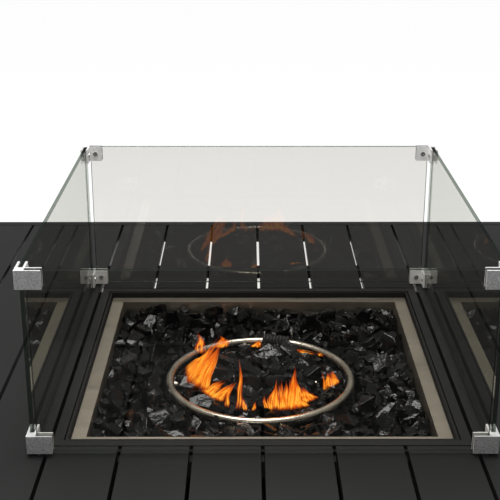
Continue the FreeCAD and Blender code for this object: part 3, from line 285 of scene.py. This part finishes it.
def glazed(name, colour):
    """A ceramic insulator with a thin uneven glaze."""
    s = Shader(name)
    speck = s.noise(600.0, 4.0)
    return s.principled(
        Base_Color=s.mix(speck, shade(0.7, colour), colour),
        Roughness=s.spread(speck, 0.3, 0.7, 0.35, 0.55), Normal=s.bump(speck, 0.0001, 0.4))


def black_chunks():
    """Black broken glass: every facet has its own polish, and some pieces are dusty."""
    s = Shader("black_fire_glass")
    facet = s.attribute("facet")
    chunk = s.attribute("chunk")
    ripple = s.noise(75.0, 3.0)
    chips = s.noise(700.0, 2.0)
    dusty = s.spread(s.math("ADD", chunk, s.math("MULTIPLY", ripple, 0.5)), 1.0, 1.35, 0.0, 1.0)
    colour = s.mix(dusty, (0.002, 0.002, 0.0021), (0.013, 0.0125, 0.012))
    relief = s.bump(ripple, 0.004, 0.8)
    return s.principled(
        Base_Color=colour, Roughness=s.spread(facet, 0.0, 1.0, 0.04, 0.26),
        Specular_IOR_Level=0.27, Normal=s.bump(chips, 0.0002, 0.4, relief))


FLAME_GLOW = 1.75              # the flames' strength


def flame_light():
    """Burning gas: fine bright streaks from root to tip, thin and red at the edges and the tip."""
    s = Shader("flame")
    across = s.attribute("across")
    along = s.attribute("along")
    seed = s.attribute("seed")
    lane = s.add("ShaderNodeCombineXYZ", {
        0: s.math("ADD", s.math("MULTIPLY", across, 1.6), s.math("MULTIPLY", seed, 37.0)),
        1: s.math("MULTIPLY", along, 0.9), 2: seed})
    streak = s.noise(2.4, 3.0, source=lane.outputs[0])
    rim = s.math("SUBTRACT", 1.0, s.math("POWER", s.math("ABSOLUTE", across), 3.0))
    root = s.spread(along, 0.0, 0.2, 0.0, 1.0)
    tip = s.spread(along, 0.5, 1.0, 1.0, 0.12)
    body = s.math("MULTIPLY", s.math("MULTIPLY", rim, root), tip)
    cover = s.math("MULTIPLY", body, s.spread(streak, 0.38, 0.6, 0.1, 0.95), clamp=True)
    warm = s.math("ADD", s.math("MULTIPLY", body, 0.3), s.spread(along, 0.0, 0.45, 0.1, 0.0))
    heat = s.math("ADD", s.math("MULTIPLY", streak, 1.15), warm)
    colour = s.ramp(heat, [
        (0.48, (0.12, 0.008, 0.001)), (0.7, (0.5, 0.045, 0.002)), (0.88, (0.82, 0.15, 0.005)),
        (0.98, (0.95, 0.42, 0.04))])
    glow = s.add("ShaderNodeEmission", {"Color": colour, "Strength": FLAME_GLOW})
    clear = s.add("ShaderNodeBsdfTransparent")
    both = s.add("ShaderNodeMixShader", {0: cover, 1: clear.outputs[0], 2: glow.outputs[0]})
    return s.finish(both.outputs[0])


CHARCOAL = (0.015, 0.015, 0.0148)
WARM_STEEL = (0.56, 0.505, 0.42)

BRUSH_X = 0
# Each finish, and the words that mark its nodes' names.
PARTS = {
    "powder_coat": ["rim_", "slats_", "pit_frame", "corner_posts", "upper_rails", "lower_rails",
                    "panel_left", "panel_right", "front_panel", "tank_door"],
    "frame_coat": ["_beams", "bearer_rails", "pan_support", "floor_tray"],
    "stainless": ["burner_pan", "knob_bezel", "pilot_bracket", "door_handle", "hinge_frame", "hinge_door"],
    "burner_steel": ["burner_ring", "flame_sensor"],
    "brass": ["burner_locknut", "air_mixer", "gas_valve", "valve_stem"],
    "gas_pipe": ["gas_tube"],
    "knob": ["control_knob", "igniter_housing"],
    "button": ["igniter_button"],
    "black_steel": ["pilot_hood"],
    "ceramic": ["igniter_electrode"],
    "bracket_aluminium": ["bracket_"],
    "screw_steel": ["guard_screws", "hinge_pins", "panel_screws", "catch_plate"],
    "silicone": ["guard_pads"],
    "rubber": ["guard_feet", "foot_glides"],
    "magnet": ["catch_magnet"],
    "glass_y": ["glass_front", "glass_back"],
    "glass_x": ["glass_left", "glass_right"],
}


def make_finishes():
    return {
        "powder_coat": coated("powder_coat", CHARCOAL, 0.43, 0.16),
        "frame_coat": coated("frame_coat", (0.008, 0.008, 0.008), 0.65, 0.2),
        "stainless": brushed("stainless", WARM_STEEL, 0.4, BRUSH_X, (0.46, 0.4, 0.32)),
        "burner_steel": smooth_metal("burner_steel", (0.62, 0.55, 0.45), 0.27),
        "brass": smooth_metal("brass", (0.6, 0.42, 0.17), 0.34),
        "gas_pipe": smooth_metal("gas_pipe", (0.6, 0.6, 0.6), 0.38),
        "knob": rubbery("knob", (0.02, 0.02, 0.02), 0.45),
        "button": rubbery("button", (0.03, 0.03, 0.03), 0.2),
        "black_steel": scorched(),
        "ceramic": glazed("ceramic", (0.75, 0.73, 0.68)),
        "bracket_aluminium": bracket_metal(),
        "screw_steel": smooth_metal("screw_steel", (0.6, 0.6, 0.59), 0.25),
        "silicone": rubbery("silicone", (0.6, 0.6, 0.58), 0.5),
        "rubber": rubbery("rubber", (0.022, 0.022, 0.022), 0.75),
        "magnet": rubbery("magnet", (0.07, 0.07, 0.07), 0.6),
        "glass_y": pane_glass("clear_glass_y", 1),
        "glass_x": pane_glass("clear_glass_x", 0),
    }


def dress_frame():
    """Gives each CAD node its finish. The block of fire glass has none, as chunks replace it."""
    finishes = make_finishes()
    for name, node in NODES.items():
        keys = [key for key, words in PARTS.items() if any(word in name for word in words)]
        if not keys:
            continue
        if not node.material_slots:
            raise ValueError(f"{name} has no material slot")
        for place in node.material_slots:
            place.link = "OBJECT"
            place.material = finishes[keys[0]]


def put(name, data):
    """A new object with this mesh, lamp or camera, in the scene."""
    made = bpy.data.objects.new(name, data)
    bpy.context.collection.objects.link(made)
    return made


# ---------------------------------------------------------------- broken glass

GLASS_SEED = 11
SHAPES = 48                    # different chunks, each used many times
CELL = 0.004                   # the height map's step
LAYER_BASE = RING_Z - 0.024    # chunks lie on a solid bed up to here
HEAP_MIDDLE = RING_Z - 0.001   # the heap's level inside the ring
HEAP_RING = RING_Z - 0.014     # beside the ring
HEAP_EDGE = RING_Z + 0.019     # and at the pan's walls
RING_CLEAR = 0.006             # chunks keep this far off the ring
RING_DIP = 0.05                # the heap is lower within this distance of the ring
RING_RISE = 0.5                # part of the rise to the walls that it makes in that distance
HOOD_SIDES = (0.004, 0.008)    # chunks keep this far off the hood's left and right
HOOD_ENDS = (0.002, 0.004)     # and off its front and back
WALL_CLEAR = 0.0005            # gap between a chunk and the pan's walls
CORE_CLEAR = 0.001             # gap between a chunk's core and the walls as it is laid
# Rounds of chunks: smallest, largest and usual radius, and the misses that end the round.
ROUNDS = [(0.012, 0.021, 0.016, 200), (0.007, 0.011, 0.009, 200)]
CORE = 0.66                    # a chunk settles as a ball of this part of its radius
CHUNK_TRIES = 14               # random spots tried for each chunk
TILT = 0.28                    # how far the six main faces of a chunk lean
FLATTEST = 0.08                # three faces whose determinant is smaller meet in no corner
MERGE = 0.03                   # corners closer than this become one
SAME_FACE = 0.06               # faces that turn less than this, in radians, become one
BLUNT = 0.08                   # width of the blunted edges


def chunk_shape(chance):
    """The corners and faces of one broken piece about one unit in radius, with blunted edges."""
    spans = (chance.uniform(1.0, 1.25), chance.uniform(0.75, 1.0), chance.uniform(0.5, 0.8))
    planes = []
    for axis, sign in itertools.product(range(3), (-1, 1)):
        normal = Vector([chance.gauss(0, TILT) for _ in range(3)])
        normal[axis] += sign
        planes.append(normal.normalized())
    for _ in range(chance.randint(3, 5)):
        planes.append(Vector([chance.gauss(0, 1) for _ in range(3)]).normalized())
    reach = [Vector(n * s for n, s in zip(plane, spans)).length * chance.uniform(0.72, 0.95)
             for plane in planes]
    made = bmesh.new()
    for trio in itertools.combinations(range(len(planes)), 3):
        meet = Matrix([planes[i] for i in trio])
        if abs(meet.determinant()) < FLATTEST:
            continue
        corner = meet.inverted() @ Vector([reach[i] for i in trio])
        if all(plane.dot(corner) < far + 1e-5 for plane, far in zip(planes, reach)):
            made.verts.new(corner)
    bmesh.ops.remove_doubles(made, verts=made.verts, dist=MERGE)
    bmesh.ops.convex_hull(made, input=made.verts)
    bmesh.ops.delete(made, geom=[v for v in made.verts if not v.link_faces], context="VERTS")
    bmesh.ops.dissolve_limit(made, angle_limit=SAME_FACE, verts=made.verts, edges=made.edges)
    bmesh.ops.bevel(made, geom=list(made.verts) + list(made.edges), offset=BLUNT, segments=1,
                    profile=0.5, affect="EDGES", clamp_overlap=True)
    made.verts.index_update()
    corners = np.array([v.co[:] for v in made.verts])
    faces = [tuple(v.index for v in f.verts) for f in made.faces]
    made.free()
    return corners, faces


class Heap:
    """A height map of the bed that chunks settle on, and the level that each place is to reach."""

    def __init__(self):
        self.low = Vector(BED_LOW)
        self.count = int(round((BED_HIGH.x - BED_LOW.x) / CELL))
        steps = (np.arange(self.count) + 0.5) * CELL
        self.x = self.low.x + steps
        self.y = self.low.y + steps
        gx, gy = np.meshgrid(self.x, self.y, indexing="ij")
        out = np.hypot(gx, gy)
        self.height = np.full_like(gx, LAYER_BASE)
        near_ring = np.abs(out - RING_RADIUS) < RING_TUBE + RING_CLEAR
        self.height = np.where(near_ring, RING_HIGH.z, self.height)
        hood = ((gx > HOOD_LOW.x - HOOD_SIDES[0]) & (gx < HOOD_HIGH.x + HOOD_SIDES[1])
                & (gy > HOOD_LOW.y - HOOD_ENDS[0]) & (gy < HOOD_HIGH.y + HOOD_ENDS[1]))
        self.height = np.where(hood, HOOD_HIGH.z, self.height)
        to_ring = np.clip(np.abs(out - RING_RADIUS) / RING_DIP, 0, 1)
        square = np.maximum(np.abs(gx), np.abs(gy))
        to_wall = np.clip((square - RING_RADIUS) / (BED_HIGH.x - RING_RADIUS), 0, 1)
        inside = HEAP_RING + (HEAP_MIDDLE - HEAP_RING) * to_ring
        outside = HEAP_RING + (HEAP_EDGE - HEAP_RING) * np.maximum(to_wall, RING_RISE * to_ring)
        self.level = np.where(out < RING_RADIUS, inside, outside)

    def around(self, x, y, radius):
        """The cells near a place, and radius squared less their squared distance from it."""
        i0 = max(int((x - radius - self.low.x) / CELL), 0)
        j0 = max(int((y - radius - self.low.y) / CELL), 0)
        i1 = min(int((x + radius - self.low.x) / CELL) + 2, self.count)
        j1 = min(int((y + radius - self.low.y) / CELL) + 2, self.count)
        apart = (self.x[i0:i1, None] - x) ** 2 + (self.y[None, j0:j1] - y) ** 2
        return (slice(i0, i1), slice(j0, j1)), radius ** 2 - apart

    def rest(self, x, y, radius):
        """The height at which a chunk's middle comes to rest, and how far it is below the level."""
        window, left = self.around(x, y, radius)
        z = float((self.height[window] + np.sqrt(np.clip(left, 0, None)))[left > 0].max())
        return z, float(self.level[window].mean()) - z

    def add(self, x, y, z, radius):
        """Raises the height map by a ball."""
        window, left = self.around(x, y, radius)
        top = np.where(left > 0, z + np.sqrt(np.clip(left, 0, None)), -1.0)
        self.height[window] = np.maximum(self.height[window], top)


def pile(chance):
    """Places for the chunks, as (x, y, z, radius), each in the deepest of a few random spots."""
    heap = Heap()
    placed = []
    for small, large, usual, miss_limit in ROUNDS:
        missed = 0
        while missed < miss_limit:
            radius = chance.triangular(small, large, usual)
            core = radius * CORE
            reach = BED_HIGH.x - core - CORE_CLEAR
            spots = [(chance.uniform(-reach, reach), chance.uniform(-reach, reach))
                     for _ in range(CHUNK_TRIES)]
            rests = [(*heap.rest(x, y, core), x, y) for x, y in spots]
            z, depth, x, y = max(rests, key=lambda rest: rest[1])
            if depth < 0:
                missed += 1
                continue
            heap.add(x, y, z, core)
            placed.append((x, y, z, radius))
    return placed


# Chunks listed one by one, against the ring, on the pan's edge and over the feed tube: place, radius.
LOOSE = [
    (0.036, -0.178, 0.599, 0.0140), (0.008, -0.182, 0.597, 0.0140), (0.103, -0.156, 0.596, 0.0120),
    (0.074, -0.172, 0.596, 0.0130), (0.131, -0.137, 0.594, 0.0100), (-0.182, 0.240, 0.615, 0.0160),
    (0.126, 0.001, 0.591, 0.0140), (-0.126, -0.001, 0.591, 0.0140), (0.108, -0.008, 0.588, 0.0150),
    (-0.106, 0.006, 0.588, 0.0150), (0.138, -0.004, 0.586, 0.0110), (-0.138, 0.003, 0.586, 0.0110),
]


def bed_under(reach):
    """The corners and faces of the solid bed under the loose chunks."""
    corners = [(x, y, z) for z in (BED_LOW.z, LAYER_BASE) for x, y in
               ((-reach, -reach), (reach, -reach), (reach, reach), (-reach, reach))]
    faces = [(3, 2, 1, 0), (4, 5, 6, 7)] + [(i, (i + 1) % 4, (i + 1) % 4 + 4, i + 4) for i in range(4)]
    return np.array(corners), faces


def make_chunks():
    chance = random.Random(GLASS_SEED)
    shapes = [chunk_shape(chance) for _ in range(SHAPES)]
    reach = BED_HIGH.x - WALL_CLEAR
    points, faces = bed_under(reach)
    corners, facet, tone = [points], [1.0] * len(faces), [0.0] * len(points)
    start = len(points)
    heap = pile(chance)
    for number, (x, y, z, radius) in enumerate(heap + LOOSE):
        points, sides = chance.choice(shapes)
        turn = Euler([chance.uniform(0, math.tau) for _ in range(3)]).to_matrix()
        placed = points @ np.array(turn).T * radius + (x, y, z)
        if number < len(heap):
            placed[:, :2] = np.clip(placed[:, :2], -reach, reach)
        corners.append(placed)
        faces += [tuple(start + i for i in side) for side in sides]
        facet += [chance.random() for _ in sides]
        tone += [chance.random()] * len(placed)
        start += len(placed)
    mesh = bpy.data.meshes.new("fire_glass_chunks")
    mesh.from_pydata(np.concatenate(corners).tolist(), [], faces)
    mesh.attributes.new("facet", "FLOAT", "FACE").data.foreach_set("value", facet)
    mesh.attributes.new("chunk", "FLOAT", "POINT").data.foreach_set("value", tone)
    mesh.materials.append(black_chunks())
    mesh.update()
    chunks = put("fire_glass_chunks", mesh)
    mesh.polygons.foreach_set("use_smooth", [True] * len(mesh.polygons))
    chunks.modifiers.new("flat_facets", "WEIGHTED_NORMAL")
    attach(chunks, TABLE)
    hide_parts("fire_glass")


# ---------------------------------------------------------------- flames

FLAME_ROWS = 18
FLAME_SIDES = 12
FLAME_Z = RING_Z + 0.003       # where the flames leave the glass
BLADE_THICK = 0.0025           # half the blade's thickness at the root
SWAY = 0.005                   # how far a tip may wander to the side
RAGGED = 0.3                   # how uneven a blade's edges are
ROOT_DROP = 0.002              # a blade's lowest point below its root
SIDE_SHIFT = 0.2               # a blade's random shift along its fan, as a part of its share
SHORTEST, TALLEST = 0.82, 1.06  # random height of a fan's blades
OVERLAP = 2.0                  # a fan's blades are this much wider than their share of it
FLAME_SEED = 5

# Each fan of flame: the roots at its two ends (x, y), the tips above them (x, y, height), the
# number of blades, and how far each blade bows to the side. A scratch program turned points picked
# on the photo into most of these places, and they are rounded to a millimetre. The wide fans were
# then changed.
FANS = [
    ((-0.125, 0.030), (-0.121, -0.026), (-0.082, 0.000, 0.044), (-0.064, -0.010, 0.070), 8, -0.004),
    ((-0.120, -0.024), (-0.087, -0.057), (-0.062, -0.040, 0.091), (-0.068, -0.046, 0.062), 8, -0.003),
    ((-0.110, 0.010), (-0.090, -0.045), (-0.074, -0.020, 0.052), (-0.060, -0.018, 0.080), 6, 0.003),
    ((-0.111, 0.090), (-0.091, 0.088), (-0.105, 0.090, 0.040), (-0.104, 0.090, 0.040), 1, 0.002),
    ((-0.094, -0.056), (-0.078, -0.078), (-0.056, -0.067, 0.032), (-0.054, -0.067, 0.026), 3, -0.003),
    ((-0.079, -0.078), (-0.060, -0.091), (-0.038, -0.085, 0.039), (-0.041, -0.085, 0.030), 3, -0.003),
    ((-0.040, -0.114), (-0.030, -0.115), (-0.033, -0.115, 0.086), (-0.033, -0.115, 0.086), 1, 0.001),
    ((-0.056, -0.106), (-0.048, -0.106), (-0.034, -0.110, 0.050), (-0.034, -0.110, 0.050), 1, -0.006),
    ((-0.029, -0.115), (-0.019, -0.116), (-0.029, -0.115, 0.023), (-0.029, -0.115, 0.023), 1, 0.001),
    ((-0.016, -0.116), (-0.010, -0.115), (-0.006, -0.115, 0.016), (-0.006, -0.115, 0.016), 1, 0.000),
    ((0.008, -0.114), (0.016, -0.114), (0.006, -0.114, 0.026), (0.015, -0.114, 0.040), 2, -0.002),
    ((0.014, -0.116), (0.036, -0.116), (0.020, -0.116, 0.054), (0.032, -0.116, 0.052), 4, -0.001),
    ((0.028, -0.116), (0.050, -0.115), (0.034, -0.116, 0.050), (0.048, -0.115, 0.056), 4, 0.001),
    ((0.040, -0.115), (0.058, -0.112), (0.050, -0.114, 0.083), (0.051, -0.114, 0.060), 2, 0.002),
    ((0.048, -0.114), (0.076, -0.102), (0.052, -0.110, 0.062), (0.056, -0.108, 0.030), 5, -0.004),
    ((0.064, -0.098), (0.088, -0.078), (0.061, -0.090, 0.032), (0.066, -0.086, 0.024), 3, -0.003),
    ((0.100, -0.053), (0.105, -0.053), (0.097, -0.053, 0.038), (0.098, -0.053, 0.037), 1, 0.000),
    ((0.106, -0.049), (0.127, -0.022), (0.105, -0.040, 0.033), (0.114, -0.032, 0.028), 4, -0.002),
    ((-0.014, 0.116), (-0.001, 0.114), (0.004, 0.115, 0.016), (0.004, 0.115, 0.014), 2, -0.001),
    ((0.055, 0.103), (0.089, 0.091), (0.054, 0.098, 0.007), (0.064, 0.096, 0.005), 2, 0.000),
    ((0.098, 0.086), (0.110, 0.079), (0.099, 0.083, 0.005), (0.105, 0.080, 0.004), 1, 0.000),
    ((-0.078, 0.108), (-0.060, 0.116), (-0.072, 0.112, 0.026), (-0.060, 0.112, 0.020), 2, 0.003),
]


def blade(root, half, top, bow, seed):
    """One thin closed blade of flame: its corners, faces, and across and along values."""
    side_way = half.normalized()
    deep = side_way.cross((top - root).normalized()).normalized()
    corners, across, along = [], [], []
    for row in range(FLAME_ROWS):
        t = row / FLAME_ROWS
        width = (1 - t) ** 1.1 * (1 + 1.1 * t)
        sway = noise.noise(Vector((seed * 31.0, t * 2.5, 0.5))) * SWAY * t
        middle = root.lerp(top, t) + side_way * (bow * 4 * t * (1 - t) + sway)
        for side in range(FLAME_SIDES):
            angle = math.tau * side / FLAME_SIDES
            u, v = math.cos(angle), math.sin(angle)
            ragged = 1 + RAGGED * noise.noise(Vector((seed * 57.0, t * 6.0, u * 1.3)))
            corners.append(middle + half * (u * width * ragged) + deep * (v * BLADE_THICK * width))
            across.append(u)
            along.append(t)
    corners += [root - Vector((0, 0, ROOT_DROP)), top]
    across += [0.0, 0.0]
    along += [0.0, 1.0]
    under, over = len(corners) - 2, len(corners) - 1
    last = (FLAME_ROWS - 1) * FLAME_SIDES
    faces = []
    for side in range(FLAME_SIDES):
        after = (side + 1) % FLAME_SIDES
        for row in range(0, last, FLAME_SIDES):
            low, high = row, row + FLAME_SIDES
            faces.append((low + side, low + after, high + after, high + side))
        faces.append((under, after, side))
        faces.append((over, last + side, last + after))
    return corners, faces, across, along


def fan_blades(chance):
    """Every blade of every fan, as root, half width, top and bow."""
    base = Vector((0, 0, FLAME_Z))
    for first, last, low_tip, high_tip, count, bow in FANS:
        start, end = Vector((*first, 0)), Vector((*last, 0))
        for i in range(count):
            s = (i + 0.5) / count
            if count > 1:
                s += chance.uniform(-SIDE_SHIFT, SIDE_SHIFT) / count
            tip = Vector(low_tip).lerp(Vector(high_tip), s)
            tip.z *= chance.uniform(SHORTEST, TALLEST) if count > 1 else 1.0
            spread = OVERLAP if count > 1 else 1.0
            half = (end - start) / (2 * count) * spread
            yield base + start.lerp(end, s), half, base + tip, bow * chance.uniform(0.5, 1.5)


def make_flames():
    chance = random.Random(FLAME_SEED)
    corners, faces, across, along, seeds = [], [], [], [], []
    for root, half, top, bow in fan_blades(chance):
        seed = chance.random()
        points, sides, u, v = blade(root, half, top, bow, seed)
        start = len(corners)
        corners += points
        faces += [tuple(start + i for i in side) for side in sides]
        across += u
        along += v
        seeds += [seed] * len(points)
    mesh = bpy.data.meshes.new("flames")
    mesh.from_pydata(corners, [], faces)
    for name, values in (("across", across), ("along", along), ("seed", seeds)):
        mesh.attributes.new(name, "FLOAT", "POINT").data.foreach_set("value", values)
    mesh.polygons.foreach_set("use_smooth", [True] * len(mesh.polygons))
    mesh.materials.append(flame_light())
    mesh.update()
    flames = put("flames", mesh)
    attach(flames, TABLE)


# ---------------------------------------------------------------- stage, lights and camera

FLOOR_HALF = 45.0
FLAG_SIDE = 4.0                # the black card reaches this far to each side
FLAG_NEAR, FLAG_FAR = -0.75, -7.0
FLAG_Z = 0.02


def card(name, low, high, z):
    """A level rectangle between two corners (x, y)."""
    mesh = bpy.data.meshes.new(name)
    corners = [(low[0], low[1], z), (high[0], low[1], z), (high[0], high[1], z), (low[0], high[1], z)]
    mesh.from_pydata(corners, [], [(0, 1, 2, 3)])
    return mesh


def make_floor():
    """A pale floor that gives off its own light, so that it reads white."""
    mesh = card("floor", (-FLOOR_HALF, -FLOOR_HALF), (FLOOR_HALF, FLOOR_HALF), 0)
    s = Shader("pale_floor")
    surface = s.add("ShaderNodeBsdfPrincipled", {
        "Base Color": (0.45, 0.45, 0.45, 1), "Roughness": 0.9, "Specular IOR Level": 0.1,
        "Emission Color": (1, 1, 1, 1), "Emission Strength": 0.8})
    mesh.materials.append(s.finish(surface.outputs[0]))
    floor = put("floor", mesh)


def make_flag():
    """A black card on the floor before the table, seen only in reflections."""
    mesh = card("flag", (-FLAG_SIDE, FLAG_FAR), (FLAG_SIDE, FLAG_NEAR), FLAG_Z)
    s = Shader("flag_black")
    surface = s.add("ShaderNodeEmission", {"Color": (1, 1, 1, 1), "Strength": 0.02})
    mesh.materials.append(s.finish(surface.outputs[0]))
    flag = put("flag", mesh)
    flag.visible_camera = False
    flag.visible_diffuse = False
    flag.visible_shadow = False
    flag.visible_transmission = False


HORIZON_GREY, OVERHEAD_GREY = 0.18, 0.5


def make_sky():
    """A soft dome: bright overhead, dimmer at the horizon, plain white to the camera."""
    world = bpy.data.worlds.new("studio")
    world.use_nodes = True
    tree = world.node_tree
    tree.nodes.clear()
    place = tree.nodes.new("ShaderNodeTexCoord")
    split = tree.nodes.new("ShaderNodeSeparateXYZ")
    tree.links.new(place.outputs["Generated"], split.inputs[0])
    ramp = tree.nodes.new("ShaderNodeValToRGB")
    stops = ((0.05, HORIZON_GREY), (0.95, OVERHEAD_GREY))
    for point, (position, grey) in zip(ramp.color_ramp.elements, stops):
        point.position = position
        point.color = (grey, grey, grey, 1)
    tree.links.new(split.outputs[2], ramp.inputs[0])
    dome = tree.nodes.new("ShaderNodeBackground")
    tree.links.new(ramp.outputs[0], dome.inputs[0])
    plain = tree.nodes.new("ShaderNodeBackground")
    plain.inputs[0].default_value = (1, 1, 1, 1)
    path = tree.nodes.new("ShaderNodeLightPath")
    either = tree.nodes.new("ShaderNodeMixShader")
    tree.links.new(path.outputs["Is Camera Ray"], either.inputs[0])
    tree.links.new(dome.outputs[0], either.inputs[1])
    tree.links.new(plain.outputs[0], either.inputs[2])
    output = tree.nodes.new("ShaderNodeOutputWorld")
    tree.links.new(either.outputs[0], output.inputs[0])
    bpy.context.scene.world = world


def softbox(name, place, width, depth, power):
    """A rectangular lamp, turned to the middle of the tabletop."""
    light = bpy.data.lights.new(name, "AREA")
    light.shape = "RECTANGLE"
    light.size, light.size_y = width, depth
    light.energy = power
    lamp = put(name, light)
    lamp.location = place
    toward = Vector((0, 0, TOP_Z)) - Vector(place)
    lamp.rotation_euler = toward.to_track_quat("-Z", "Y").to_euler()


def make_lights():
    make_sky()
    softbox("softbox_top", (-0.15, 0.3, 3.0), 1.5, 1.1, 70)
    softbox("softbox_front", (-0.5, -3.4, 1.8), 1.6, 1.2, 16)


# The camera that was fitted to the photo's straight edges.
CAMERA_PLACE = (-0.0196, -1.6350, 1.4102)
CAMERA_PITCH = 19.82           # degrees down
CAMERA_YAW = 0.09              # degrees to the right
CAMERA_LENS = 79.72
SENSOR = 36.0


def make_camera():
    data = bpy.data.cameras.new("camera")
    data.sensor_width = SENSOR
    data.lens = CAMERA_LENS
    camera = put("camera", data)
    camera.location = CAMERA_PLACE
    camera.rotation_euler = (math.radians(90 - CAMERA_PITCH), 0, math.radians(-CAMERA_YAW))
    bpy.context.scene.camera = camera


bpy.context.scene.view_settings.view_transform = "Standard"
dress_frame()
make_chunks()
make_flames()
make_floor()
make_flag()
make_lights()
make_camera()
